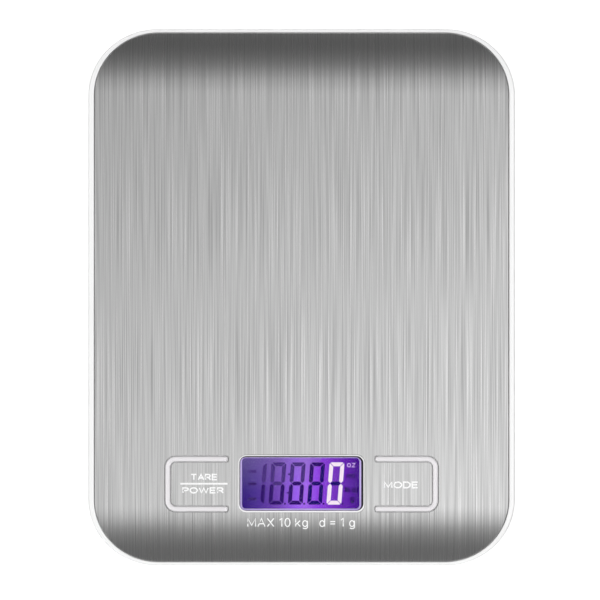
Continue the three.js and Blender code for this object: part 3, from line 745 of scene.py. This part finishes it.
def arc(x, y, rx, ry, start, end, steps=10):
    """Points on part of an ellipse, with its angles in degrees."""
    turn = [math.radians(start + (end - start) * k / steps) for k in range(steps + 1)]
    return [(x + rx * math.cos(a), y + ry * math.sin(a)) for a in turn]


def bowl(x):
    return arc(x, 0.36, 0.25, 0.36, 0, 360, 16)[:-1]


UPPER_BOWL = [(0, 1), (0.36, 1), *arc(0.36, 0.73, 0.27, 0.27, 80, -80), (0.36, 0.46), (0, 0.46)]
# Each letter: its width, its open strokes and its closed ones, for a capital height of 1
LETTERS = {
    "A": (0.76, [[(0, 0), (0.38, 1), (0.76, 0)], [(0.15, 0.34), (0.61, 0.34)]], []),
    "D": (0.72, [], [[(0, 0), (0, 1), (0.32, 1), *arc(0.32, 0.5, 0.4, 0.5, 80, -80), (0.32, 0)]]),
    "E": (0.62, [[(0.62, 1), (0, 1), (0, 0), (0.62, 0)], [(0, 0.52), (0.56, 0.52)]], []),
    "M": (0.84, [[(0, 0), (0, 1), (0.42, 0.14), (0.84, 1), (0.84, 0)]], []),
    "O": (0.84, [], [arc(0.42, 0.5, 0.42, 0.5, 0, 360, 24)[:-1]]),
    "P": (0.63, [[(0, 0), *UPPER_BOWL]], []),
    "R": (0.68, [[(0, 0), *UPPER_BOWL], [(0.36, 0.46), (0.68, 0)]], []),
    "T": (0.72, [[(0, 1), (0.72, 1)], [(0.36, 1), (0.36, 0)]], []),
    "W": (1.06, [[(0, 1), (0.26, 0), (0.53, 1), (0.80, 0), (1.06, 1)]], []),
    "X": (0.70, [[(0, 0), (0.70, 1)], [(0, 1), (0.70, 0)]], []),
    "0": (0.54, [], [arc(0.27, 0.5, 0.27, 0.5, 0, 360, 20)[:-1]]),
    "1": (0.34, [[(0, 0.78), (0.26, 1), (0.26, 0)]], []),
    "=": (0.52, [[(0, 0.60), (0.52, 0.60)], [(0, 0.32), (0.52, 0.32)]], []),
    "b": (0.52, [[(0, 0), (0, 1)]], [bowl(0.27)]),
    "d": (0.52, [[(0.52, 0), (0.52, 1)]], [bowl(0.25)]),
    "g": (0.52, [[(0.52, 0.72), (0.52, -0.06), *arc(0.26, -0.06, 0.26, 0.2, -10, -150)]], [bowl(0.25)]),
    "k": (0.50, [[(0, 0), (0, 1)], [(0.48, 0.72), (0, 0.24)], [(0.17, 0.41), (0.50, 0)]], []),
    "l": (0.10, [[(0.05, 0), (0.05, 1)]], []),
    "m": (0.80, [[(0, 0), (0, 0.72)], [*arc(0.2, 0.50, 0.2, 0.2, 180, 0), (0.4, 0)],
                 [*arc(0.6, 0.50, 0.2, 0.2, 180, 0), (0.8, 0)]], []),
    "o": (0.50, [], [bowl(0.25)]),
    "z": (0.46, [[(0, 0.72), (0.46, 0.72), (0, 0), (0.46, 0)]], []),
    " ": (0.10, [], []),
}


def inked(shape, path, closed, weight, low, thick):
    """Adds one stroke of a letter: a flat bar of the given weight along a path."""
    path = np.array(path)
    if closed:
        before, after = np.roll(path, 1, 0), np.roll(path, -1, 0)
    else:
        before = np.concatenate((2 * path[:1] - path[1:2], path[:-1]))
        after = np.concatenate((path[1:], 2 * path[-1:] - path[-2:-1]))
    turns = []
    for step in (path - before, after - path):
        unit = step / np.linalg.norm(step, axis=1)[:, None]
        turns.append(np.column_stack((-unit[:, 1], unit[:, 0])))
    mitre = turns[0] + turns[1]
    mitre /= np.maximum((mitre * turns[0]).sum(1), 0.55)[:, None]
    side = mitre * weight / 2
    high = (lambda x, y: low(x, y) + thick) if callable(low) else low + thick
    rails = [shape.ring(path + side, low), shape.ring(path - side, low),
             shape.ring(path - side, high), shape.ring(path + side, high)]
    count = len(path)
    for k in range(count if closed else count - 1):
        n = (k + 1) % count
        for a, b in zip(rails, rails[1:] + rails[:1]):
            shape.faces.append((a[k], a[n], b[n], b[k]))
    if not closed:
        shape.faces += [tuple(rail[end] for rail in rails) for end in (0, -1)]


def lettering(name, words, x, y, height, width, look, z, weight, body=ROOT):
    """Words in plain strokes, fitted to a capital height and a width in millimetres, centred on (x, y)."""
    gap = 0.26
    total = sum(LETTERS[letter][0] for letter in words) + gap * (len(words) - 1)
    scale = np.array(((width - weight) / total, height - weight))
    start = np.array((x - (width - weight) / 2, y - (height - weight) / 2))
    shape = Shape()
    along = 0.0
    for letter in words:
        size, open_strokes, closed_strokes = LETTERS[letter]
        for n, path in enumerate(open_strokes + closed_strokes):
            placed = start + (np.array(path) + np.array((along, 0))) * scale
            inked(shape, placed, n >= len(open_strokes), weight, z, 0.02 + 0.001 * n)
        along += size + gap
    return shape.made(name, look, body, sharp=30)


def legends():
    """Generic words for the two keys, and the capacity line."""
    left = SIDES["tare"]
    for name, side, text, x, y, height, width in (
            ("tare_legend_zero", "tare", "TARE", left * 41.2, 2.9, 2.85, 11.4),
            ("tare_legend_power", "tare", "POWER", left * 41.6, -2.7, 2.7, 17.6),
            ("unit_legend_mode", "unit", "MODE", 42.0, -0.4, 3.0, 14.6)):
        bend_with_button(lettering(name, text, x, PANEL_Y + y, height, width, INK, TOP, 0.6, None))
    line = crossed(rounded(20.0, 0.75, 0.1, 3, (left * 41.25, PANEL_Y + 0.1)), [left * x for x in BEND], axis=0)
    bar = slab("tare_legend_line", line, TOP, TOP + 0.02, INK, edge=0.005, body=None)
    bend_with_button(bar)
    lettering("capacity_legend", "MAX 10 kg   d = 1 g", -0.2, PANEL_Y - 16.3, 3.95, 45.5, INK, on(TOP), 0.46)


# ---- Display ----

def grown(size, distance):
    """A rounded rectangle (width, depth, corner radius, centre) made larger all round."""
    return (size[0] + 2 * distance, size[1] + 2 * distance, max(0.3, size[2] + distance), size[3])


def window_frame():
    """White bezel: a thin lip round the window, a seat under the lens and a slope down to the LCD."""
    low, high = corners_mm("display_bezel")
    seat = LENS_LOW.z - 0.1
    step, shoulder = low.z + 0.8, DECK_TOP + 0.06
    flange = (high.x - low.x, high.y - low.y, 0.6, (0, PANEL_Y))
    shaft = (WINDOW[0] - 0.5, WINDOW[1] - 0.5, WINDOW[2] - 0.3, WINDOW[3])
    outer = grown(FRAME_LIP, -0.03)
    profile = [
        (flange, low.z), (grown(flange, -0.1), step), (shaft, step), (shaft, shoulder), (outer, shoulder),
        (outer, TOP - 0.1), (grown(outer, -0.02), TOP - 0.05), (grown(outer, -0.05), TOP - 0.03),
        (grown(LIP_INSIDE, 0.04), TOP - 0.03), (grown(LIP_INSIDE, 0.01), TOP - 0.06), (LIP_INSIDE, TOP - 0.15),
        (LIP_INSIDE, seat), (grown(LENS, 0.1), seat), (grown(LENS, 0.1), seat - 1.0), (VIEW, seat - 1.0),
        (VIEW, low.z),
    ]
    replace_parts(framed("window_frame", profile, WHITE), "display_bezel")


def window_lens():
    """The clear lens, a black gasket strip round it that is made wider at the top and right as painted shadow of the
    gap there, and the slope from it down to the LCD, which has a painted purple glow.
    """
    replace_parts(slab("window_lens", plan(LENS, 10), LENS_LOW.z, LENS_HIGH.z, ACRYLIC, 0.12), "display_lens")
    seat, top = LENS_LOW.z - 0.1, LENS_LOW.z + 0.75
    # The strip is wider at the top and right, where it stands in for the shadow in the gap: painted shadow
    outside, inside = grown(LIP_INSIDE, -0.02), grown(LENS, 0.04)
    framed("window_gasket_shadow", [(outside, seat), (outside, top), (inside, top + 0.05), (inside, seat)], GASKET_SHADOW)
    # The slope below has a painted purple glow, standing in for the LCD's light on it
    seat -= 0.05
    outside, inside = grown(LENS, 0.08), grown(VIEW, 0.02)
    framed("window_slope", [(outside, seat), (grown(VIEW, 0.12), seat - 0.7), (inside, seat - 0.72),
                            (inside, seat - 0.94), (outside, seat - 0.94)], PAINTED_GLOW_EDGE)


def lcd_panel():
    outline = rounded(LCD_HIGH.x - LCD_LOW.x, LCD_HIGH.y - LCD_LOW.y, 0.4, 4, (0, halfway(LCD_LOW, LCD_HIGH)[1]))
    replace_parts(slab("lcd_glass", outline, LCD_LOW.z, LCD_HIGH.z, LCD, 0.1), "lcd_panel")


DIGIT_WIDTH, DIGIT_HEIGHT, STROKE, GAP, LEAN = 6.3, 17.9, 1.66, 0.17, math.tan(math.radians(4.4))


def segment(letter):
    """One segment of a seven-segment digit, upright, from its lower left corner."""
    w, h, t, g = DIGIT_WIDTH, DIGIT_HEIGHT, STROKE, GAP
    m, c = h / 2, 0.6
    top = [(c + g, h), (w - c - g, h), (w - c / 2 - g, h - c / 2), (w - t - g, h - t), (t + g, h - t),
           (c / 2 + g, h - c / 2)]
    left = [(0, h - c - g), (c / 2, h - c / 2 - g), (t, h - t - g), (t, m + t / 2 + g), (t / 2, m + g),
            (0, m + t / 2 + g)]
    middle = [(t / 2 + g, m), (t + g, m + t / 2), (w - t - g, m + t / 2), (w - t / 2 - g, m),
              (w - t - g, m - t / 2), (t + g, m - t / 2)]
    points = {"a": top, "d": top, "g": middle}.get(letter, left)
    if letter in "bc":
        points = [(w - x, y) for x, y in points]
    return [(x, h - y) for x, y in points] if letter in "cde" else points


def leaned(points, x, y):
    """Points of a display mark, leaned to the right and moved to (x, y)."""
    return [(x + px + (py - DIGIT_HEIGHT / 2) * LEAN, y + py) for px, py in points]


def marks(name, outlines, look):
    """Flat display marks from their outlines, as one piece on the LCD's face."""
    thick = 0.03
    shape = Shape()
    for outline in outlines:
        rings = [shape.ring(outline, z) for z in (LCD_HIGH.z, LCD_HIGH.z + thick)]
        shape.skin(*rings)
        shape.faces += map(tuple, rings)
    return shape.made(name, look, sharp=20)


def dot(x, y):
    size = 0.75
    return leaned([(0, 0), (size, 0), (size, size), (0, size)], x, y)


def display_content():
    """One lit nought, the unlit segments of the other digits, and the unit names."""
    foot = PANEL_Y - 0.15 - DIGIT_HEIGHT / 2
    place = [11.2 - 8.2 * k for k in range(5)]  # left edges, from the lit digit leftwards
    # Unlit segments under the painted glare at the back left are separate pieces in a paler colour: painted reflection
    for name, k, letters, look in (
            ("digit_units_lit", 0, "abcdef", LIT), ("digit_units_bar", 0, "g", GHOST_DEEP),
            ("digit_tens", 1, "bcdeg", GHOST_DEEP), ("digit_tens_in_glare", 1, "af", GHOST_MID),
            ("digit_hundreds", 2, "cdeg", GHOST_MID), ("digit_hundreds_in_glare", 2, "abf", GHOST_PALE),
            ("digit_thousands", 3, "cde", GHOST_MID), ("digit_thousands_in_glare", 3, "abfg", GHOST_PALE),
            ("digit_leading_one_in_glare", 4, "b", GHOST_PALE), ("digit_leading_one", 4, "c", GHOST_MID)):
        marks(name, [leaned(segment(letter), place[k], foot) for letter in letters], look)
    points = [dot(place[k] + DIGIT_WIDTH + 0.3, foot) for k in range(4)]
    colon = [dot(place[2] - 0.78 + up * LEAN, foot + up) for up in (4.6, 12.5)]
    marks("display_points", points + colon, GHOST_MID)
    icons = [rounded(3.4, 1.2, 0.3, 3, (-20.9, PANEL_Y + y))[0] for y in (4.9, -0.3, -6.7)]
    # The top icon lies under the painted glare and gets the paler colour: painted reflection
    marks("display_icon_in_glare", icons[:1], GHOST_PALE)
    marks("display_icons", icons[1:], GHOST_ICON)
    for name, words, x, y, height, width, look, weight in (
            ("lit", "oz", 21.05, 7.9, 2.45, 3.6, LIT_UNIT, 0.36),
            ("ml", "ml", 20.9, 3.1, 2.7, 3.7, GHOST_FAINT, 0.55),
            ("lb", "lb oz", 21.3, -2.7, 2.6, 6.2, GHOST_FAINT, 0.55),
            ("g", "g", 21.4, -6.6, 2.7, 1.9, GHOST_FAINT, 0.55)):
        lettering(f"unit_name_{name}", words, x, PANEL_Y + y, height, width, look, LCD_HIGH.z, weight)


# ---- Shells ----

def body_outline():
    return rounded(2 * OUTER[0], 2 * OUTER[1], CORNER_R, 24)


def top_shell():
    """White band with the rim that shows round the steel, and the deck under it."""
    rim_top, seam, margin = SHELL_HIGH.z, PARTING + SEAM_HALF, -0.8
    wall = [(2.2, seam + 2), (2.2, seam), (0.25, seam), (0.07, seam + 0.07), (0, seam + 0.25), (0, rim_top - 6)]
    # A narrow groove near the rim's outer edge draws a thin line round it
    rim = [(0, -2.2), (0.03, -1.2), (0.09, -0.97), (0.24, -0.88), (0.28, -1.2), (0.5, -1.2), (0.52, -0.5)]
    rim += [(0.53 + inward, -down) for inward, down in rounding(0.45, 6)[-2::-1]]
    recess = [(0.46, rim_top), (0.36, rim_top - 0.04), (0.31, rim_top - 0.15), (0.3, rim_top - 1.6),
              (margin, rim_top - 1.6), (margin, DECK_TOP)]
    outline, deck = body_outline(), steel_outline(margin)[0]
    shape = Shape()
    rings = shape.rings(outline, [(-inset, lambda x, y, z=z: min(z, rim_top - 2.6 - drop(y))) for inset, z in wall])
    rings += shape.rings(outline, [(-inset, on(rim_top + z)) for inset, z in rim])
    rings += [shape.ring(steel_outline(away)[0], on(z)) for away, z in recess]
    shape.skin(*rings)
    inner = shape.ring(deck, on(DECK_BOTTOM))
    shape.skin(inner, rings[0])
    openings = [plan(WINDOW, 6)] + [rounded(17, 13, 0.8, 4, (sign * 44.5, PANEL_Y)) for sign in SIDES.values()]
    holes = [shape.rings(opening, [(0, on(DECK_TOP)), (0, on(DECK_BOTTOM))]) for opening in openings]
    for hole in holes:
        shape.skin(*hole)
    strips = {}
    for k, (_, y) in enumerate(deck):
        strips.setdefault(round(y, 4), []).append(k)
    pairs = [row for y, row in strips.items() if len(row) == 2 and abs(y) > 92]
    for outside, face, height in ((rings[-1], 0, DECK_TOP), (inner, 1, DECK_BOTTOM)):
        lines = [(outside[a], outside[b]) for a, b in pairs]
        shape.cap([outside, *(hole[face] for hole in holes)], lines, on(height))
    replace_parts(shape.made("top_shell_white", WHITE), "top_shell")


def softened(path, radius):
    """A closed path of right-angled corners with each corner rounded, as points and outward normals."""
    points, normals = [], []
    for k in range(len(path)):
        before, here, after = (np.array(path[(k + d) % len(path)], float) for d in (-1, 0, 1))
        a, b = (here - before) / np.linalg.norm(here - before), (after - here) / np.linalg.norm(after - here)
        outwards = 1 if a[0] * b[1] > a[1] * b[0] else -1
        centre = here - a * radius + b * radius
        for angle in quarter_turn(4):
            swept = a * math.sin(angle) - b * math.cos(angle)
            points.append(centre + swept * radius)
            normals.append(swept * outwards)
    return np.array(points), np.array(normals)


DOOR_GAP = 0.3
DOOR_FRONT = DOOR_LOW.y + 4 - DOOR_GAP  # the plate's front edge, behind the thumb tab
LEDGE = DOOR_HIGH.z + 0.1
SCOOP_R, SCOOP_DEPTH, SCOOP_Y, SCOOP_FRONT = 12.0, 1.5, DOOR_LOW.y - 1, DOOR_LOW.y - 6.5


def ledge(x, y):
    """Height of the surface over the door: level, then falling to the underside in the finger scoop."""
    scoop = BASE_LOW.z + SCOOP_DEPTH - SCOOP_R + math.sqrt(SCOOP_R ** 2 - min(0, y - SCOOP_Y) ** 2)
    return min(LEDGE, scoop)


def door_opening(radius, grow=0.0):
    """Outline of the battery door's opening, with the notch for its tab and the scoop in front of it."""
    half_x, tab_half = DOOR_HIGH.x + DOOR_GAP + grow, 6.3 + grow
    back, front, notch = DOOR_HIGH.y + DOOR_GAP + grow, DOOR_FRONT - grow, SCOOP_FRONT - grow
    path = [(half_x, front), (half_x, back), (-half_x, back), (-half_x, front), (-tab_half, front),
            (-tab_half, notch), (tab_half, notch), (tab_half, front)]
    return softened(path, radius)


def bottom_shell():
    """Underside with its rounded edge, foot holes, screw wells, battery door opening and battery box."""
    step, wall, inward_size, up_size = 0.4, 1.8, 9.6, 5.2
    face, inside, seam = BASE_LOW.z, BASE_LOW.z + wall, PARTING - SEAM_HALF
    sweep = quarter_turn(14)
    section = [(step + inward_size + 1.5, face)]
    section += [(step + inward_size * (1 - math.sin(a)), face + up_size * (1 - math.cos(a))) for a in sweep]
    section += [(step, seam - 0.2), (step + 0.06, seam - 0.06), (step + 0.2, seam), (step + wall, seam)]
    section += [(step + wall + (inward_size - 0.8) * (1 - math.sin(a)), inside + (up_size - 2) * (1 - math.cos(a)))
                for a in sweep[::-2]]
    shape = Shape()
    rings = shape.rings(body_outline(), [(-inset, z) for inset, z in section])
    shape.skin(*rings)
    under, above = [rings[0]], [rings[-1]]
    lip = [(0.5, 0)] + rounding(0.3, 4)

    def through(hole, upward):
        """A round hole with a lip, from the underside up and back down on the inside."""
        levels = [(away, face + down) for away, down in lip] + upward + [(upward[-1][0], inside)]
        loops = shape.rings(hole, levels)
        shape.skin(*loops)
        under.append(loops[0])
        above.append(loops[-1])

    collar, seat, post = 5.9, 6.4, 11.8
    for sx, sy in CORNERS.values():
        through(circle(sx * FOOT_X, sy * FOOT_Y, 11, 64), [(0, collar), (1.5, collar)])
        through(circle(sx * SCREW_X, sy * SCREW_Y, 2.8, 32), [(0, seat), (-1.4, seat), (-1.4, post), (0.8, post)])

    def lip_height(down):
        return lambda x, y: face + down * min(1.0, (ledge(x, y) - face) / 0.6)

    opening = crossed(door_opening(0.8), np.arange(SCOOP_FRONT + 1, SCOOP_Y + 0.1, 0.6))
    edge = shape.rings(opening, [(away, lip_height(down)) for away, down in lip] + [(0, ledge)])
    shape.skin(*edge)
    under.append(edge[0])
    # The battery bay, open below, and the box that shows over it inside the body
    front, back = DOOR_FRONT + 2.9, DOOR_HIGH.y - 2.6
    width, depth, centre = 50.4, back - front, (0, (front + back) / 2)
    bay_top, box_top, flange_top = 14.6, 15.3, 5.2
    bay = shape.rings(rounded(width, depth, 0.8, 4, centre), [(0, z) for z in (LEDGE, bay_top - 0.3, bay_top)])
    shape.skin(*bay)
    shape.cap([bay[-1]])
    rows = {}
    for k in edge[-1]:
        x, y, _ = shape.points[k]
        if y < DOOR_FRONT - 0.9 and abs(x) > 6.2:
            rows.setdefault(round(y, 3), []).append(k)
    shape.cap([edge[-1], bay[0]], [tuple(row) for row in rows.values() if len(row) == 2], ledge)
    flange = shape.rings(door_opening(1.5, 1.4), [(0, inside), (0, flange_top)])
    shape.skin(*flange)
    above.append(flange[0])
    box = shape.rings(rounded(width + 3.2, depth + 3.2, 1.4, 4, centre), [(0, flange_top), (0, box_top)])
    shape.skin(*box)
    for loops in ([flange[-1], box[0]], [box[-1]], under, above):
        shape.cap(loops)
    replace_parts(shape.made("bottom_shell_white", WHITE_GRAINED), "bottom_shell")


# ---- Feet, screws, batteries ----

def foot(corner):
    """Hard cup and ribbed rubber pad of one foot."""
    sx, sy = CORNERS[corner]
    centre, body = (sx * FOOT_X, sy * FOOT_Y), f"foot_{corner}"
    r, high = (PAD_HIGH.x - PAD_LOW.x) / 2, PAD_HIGH.z
    groove = 0.25
    profile = [(0, groove), (1.6, groove)]
    for inner in (1.9, 3.9, 5.9):
        profile += [(inner, 0.02), (inner + 0.15, 0), (inner + 1.05, 0), (inner + 1.2, 0.02)]
        if inner < 5.5:
            profile += [(inner + 1.45, groove), (inner + 1.75, groove)]
    profile += [(r - 0.6, 0.02), (r - 0.3, 0.1), (r - 0.08, 0.3), (r, 0.6), (r, high), (0, high)]
    pad = Shape().turned(profile, centre).made(f"{corner}_pad", PAD, body, sharp=50)
    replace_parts(pad, f"foot_pad_{corner}")
    cup_r, low, top = (CUP_HIGH.x - CUP_LOW.x) / 2, CUP_LOW.z, CUP_HIGH.z
    round_r, stem_r, shelf = 0.6, 3.5, 3.6
    profile = [(0, high + 0.1), (r + 0.25, high + 0.1), (r + 0.25, low + 0.15), (r + 0.4, low), (cup_r - round_r, low)]
    profile += [(cup_r - round_r * (1 - math.sin(a)), low + round_r * (1 - math.cos(a)))
                for a in (0.4, 0.8, 1.2, math.pi / 2)]
    profile += [(cup_r, shelf - 0.2), (cup_r - 0.2, shelf), (stem_r + 0.2, shelf), (stem_r, shelf + 0.2),
                (stem_r, top - 0.2), (stem_r - 0.2, top), (0, top)]
    cup = Shape().turned(profile, centre).made(f"{corner}_cup", INNER, body, sharp=50)
    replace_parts(cup, f"foot_cup_{corner}")


def cross(x, y, reach, half):
    """Outline of a cross-shaped screwdriver recess."""
    path = [(reach, -half), (reach, half), (half, half), (half, reach), (-half, reach), (-half, half),
            (-reach, half), (-reach, -half), (-half, -half), (-half, -reach), (half, -reach), (half, -half)]
    return [(x + px, y + py) for px, py in path]


def driven_screw(node, reach):
    """A pan-head screw with a cross recess in its downward-facing head and a ridged shank."""
    low, high = corners_mm(node)
    x, y, _ = halfway(low, high)
    head_r = (high.x - low.x) / 2
    head_top = low.z + (1.6 if head_r > 2.3 else 1.4)
    shank, root, tip, pitch = head_r * 0.4, head_r * 0.4 * 0.8, high.z - 0.8, 0.7
    dome = [(0.62, 0), (0.80, 0.08), (0.93, 0.28), (1, 0.62)]
    levels = [(head_r * part, low.z + up) for part, up in dome]
    levels += [(head_r, head_top - 0.1), (head_r - 0.1, head_top), (root, head_top)]
    z = head_top
    while z + pitch < tip:
        levels += [(root, z + pitch * 0.4), (shank, z + pitch * 0.6), (root, z + pitch * 0.8)]
        z += pitch
    levels += [(root, tip), (0.15, high.z)]
    shape = Shape()
    rings = [shape.ring(circle(x, y, r, 32)[0], height) for r, height in levels]
    shape.skin(*rings)
    shape.cap([rings[-1]])
    mouth = shape.ring(cross(x, y, reach, reach * 0.24), low.z)
    floor_ring = shape.ring(cross(x, y, reach * 0.6, reach * 0.18), low.z + 0.9)
    shape.skin(mouth, floor_ring)
    shape.cap([rings[0], mouth])
    shape.cap([floor_ring])
    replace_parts(shape.made(f"{node}_threaded", ZINC), node)


def battery(node, direction):
    """An AAA cell: printed jacket, steel ends, the nub at its positive end."""
    low, high = corners_mm(node)
    _, y, z = halfway(low, high)
    r = (high.z - low.z) / 2
    start, end = (low.x, high.x) if direction > 0 else (high.x, low.x)
    length = abs(end - start)

    def lathe(part, profile, look):
        shape = Shape().turned(profile, (0, 0), 48)
        shape.points = [(start + direction * pz, y + px, z + py) for px, py, pz in shape.points]
        return shape.made(f"{node}_{part}", look)

    jacket = [(0, 0.35), (r - 0.8, 0.35), (r - 0.35, 0.1), (r - 0.08, 0.3), (r, 0.7), (r, length - 1.7),
              (r - 0.1, length - 1.35), (r - 0.5, length - 1.15), (r - 0.9, length - 1.3), (0, length - 1.3)]
    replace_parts(lathe("jacket", jacket, JACKET), node)
    lathe("base", [(0, 0), (r - 1.1, 0), (r - 0.9, 0.1), (r - 0.9, 0.3), (0, 0.3)], SPRING)
    nub = [(0, length - 1.25), (r - 1.0, length - 1.25), (r - 1.1, length - 1.1), (2.1, length - 1.05),
           (1.95, length - 0.9), (1.9, length - 0.25), (1.65, length), (0, length)]
    lathe("nub", nub, SPRING)


def spring_contact(node, spring_y):
    """A contact plate with a conical battery spring standing on it."""
    low, high = corners_mm(node)
    end = 1 if low.x > 0 else -1
    wall, tip = (high.x, low.x) if end > 0 else (low.x, high.x)
    _, y, z = halfway(low, high)
    thick, turns, steps, wire = 0.4, 3.2, 120, 0.3
    shape = Shape()
    shape.solid(shape.rings(rounded(high.y - low.y, 8, 1.0, 5, (y, z)), [(0, 0), (0, thick)]))
    shape.points = [(wall - end * pz, px, py) for px, py, pz in shape.points]
    room = abs(wall - tip) - thick
    path = []
    for k in range(steps + 1):
        part = k / steps
        angle = 2 * math.pi * turns * part
        radius = 3.3 - 1.2 * part
        along = thick + wire + (room - 2 * wire) * max(0, (part - 0.1) / 0.9)
        path.append((wall - end * along, spring_y + radius * math.cos(angle), z + radius * math.sin(angle)))
    shape.tube(path, wire - 0.03, 10)
    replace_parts(shape.made(f"{node}_coiled", SPRING), node)


def battery_door():
    """The door with rounded edges, and the thumb ribs that stand out of it behind its tab."""
    refined("battery_door", WHITE_GRAINED, 0.22, name="battery_door_white")
    shape = Shape()
    for k in range(4):
        rib = rounded(10 - k, 0.6, 0.29, 4, (0, DOOR_LOW.y + 5.4 + 1.4 * k))
        levels = [(-0.2, -0.25), (-0.06, -0.2), (0, -0.08), (0, 0.3)]
        shape.solid(shape.rings(rib, [(away, DOOR_LOW.z + z) for away, z in levels]))
    shape.made("battery_door_ribs", WHITE_GRAINED, "battery_door")


def small_parts():
    """The other parts inside keep their CAD shape and get a material each, and most of them rounded edges."""
    looks = {
        "main_board": (BOARD, 0.1), "backlight_panel": (GUIDE, 0.1), "zebra_connector": (BLACK_RUBBER, 0.2),
        "battery_flat_contact": (SPRING, 0.08),
    }
    for side in SIDES:
        looks[f"{side}_switch_body"] = (EPOXY, 0.2)
        looks[f"{side}_switch_plunger"] = (BLACK_RUBBER, 0.15)
        looks[f"{side}_button_pusher"] = (INNER, 0.15)
    for corner in CORNERS:
        looks[f"load_cell_{corner}"] = (SPRING, 0.1)
        looks[f"strain_gauge_{corner}"] = (SILICONE, 0.25)
        looks[f"sensor_clamp_{corner}"] = (INNER, 0.2)
    for node, (look, edge) in looks.items():
        refined(node, look, edge)
    kept = {"cover_adhesive": FOAM, "chip_potting": EPOXY, "battery_lead_positive": RED,
            "battery_lead_negative": BLACK}
    kept.update({f"sensor_cable_{corner}": BLACK for corner in CORNERS})
    for node, look in kept.items():
        mesh = frame["nodes"][node].data
        mesh.materials.clear()
        mesh.materials.append(look)


# ---- Studio ----

def camera():
    """Straight above the platform, far off through a long lens."""
    lens, sensor, picture = 120.0, 36.0, 253.3
    data = bpy.data.cameras.new("camera")
    data.lens = lens
    data.sensor_width = sensor
    data.clip_end = 20
    made = bpy.data.objects.new("camera", data)
    made.location = (-0.68 * MM, -1.14 * MM, (TOP + picture * lens / sensor) * MM)
    bpy.context.scene.collection.objects.link(made)
    bpy.context.scene.camera = made


def floor():
    reach = 6000
    shape = Shape()
    shape.faces.append(tuple(shape.ring([(-reach, -reach), (reach, -reach), (reach, reach), (-reach, reach)], -0.05)))
    look = Look("pale_floor", "white_shell", (0.85, 0.85, 0.85), 0.6, Emission_Strength=0.30,
                Emission_Color=(1, 1, 1, 1), Specular_IOR_Level=0.2)
    made = bpy.data.objects.new("floor", shape.mesh("floor"))
    made.data.materials.append(look.material)
    bpy.context.scene.collection.objects.link(made)


def sky():
    """A strip of soft light overhead, narrow from front to back, plain banks of light beside it, a pale horizon."""
    world = bpy.data.worlds.new("studio")
    bpy.context.scene.world = world
    world.use_nodes = True
    tree = Nodes(world.node_tree)

    def times(a, b):
        return tree.math("MULTIPLY", a, b)

    def smooth(value, low, high, to_low, to_high):
        return tree.span(value, low, high, to_low, to_high, "SMOOTHSTEP")

    x, y, z = tree.axes("Generated")
    # Tones by the angle from straight up towards the back, in degrees
    tones = [
        (-60, 0.25), (-56, 0.15), (-51, 0.065), (-45, 0.045), (-37, 0.062), (-30, 0.10), (-26, 0.155),
        (-20, 0.295), (-12, 0.54), (-7, 0.68), (0, 0.47), (6, 0.375), (14, 0.26), (20, 0.175), (26, 0.092),
        (32, 0.05), (45, 0.034), (51, 0.065), (56, 0.15), (60, 0.25),
    ]
    reach, gain = 60, 4.6
    leaning = tree.math("ARCTAN2", y, tree.math("MAXIMUM", z, 0.001))
    place = tree.span(leaning, -math.radians(reach), math.radians(reach), 0, 1)
    strip = tree.ramp(place, [((angle / reach + 1) / 2, (tone,) * 3) for angle, tone in tones])
    overhead = times(times(strip, smooth(x, -0.22, 0.22, 0.35, 1.0)), gain)
    across = tree.math("ABSOLUTE", x)
    beside = smooth(across, 0.42, 0.62, 0.0, 1.0)
    banks = times(smooth(x, -0.5, 0.5, 2.4, 1.5), smooth(across, 0.80, 0.93, 1.0, 0.2))
    banks = times(banks, smooth(y, 0.35, 0.65, 1.0, 0.5))
    fill = tree.math("ADD", times(overhead, tree.math("SUBTRACT", 1.0, beside)), times(beside, banks))
    fill = times(fill, smooth(z, -0.1, 0.0, 0.2, 1.0))  # dim under the horizon
    horizon = smooth(tree.math("ABSOLUTE", z), 0.0, 0.14, 1.0, 0.0)
    background = tree.nodes["Background"].inputs
    tree.fill(background["Strength"], tree.math("MAXIMUM", fill, horizon))
    background["Color"].default_value = (1, 1, 1, 1)


camera()
floor()
sky()
bpy.context.scene.view_settings.view_transform = "Standard"

steel_cover()
for name in SIDES:
    steel_button(name)
    ridge(name)
legends()
window_frame()
window_lens()
lcd_panel()
display_content()
top_shell()
bottom_shell()
for name in CORNERS:
    foot(name)
    driven_screw(f"case_screw_{name}", 1.5)
for name in ("left", "right"):
    driven_screw(f"board_screw_{name}", 1.3)
battery("battery_right_facing", 1)
battery("battery_left_facing", -1)
spring_contact("battery_link_contact", 17.6)
spring_contact("battery_spring_contact", 6.4)
battery_door()
small_parts()
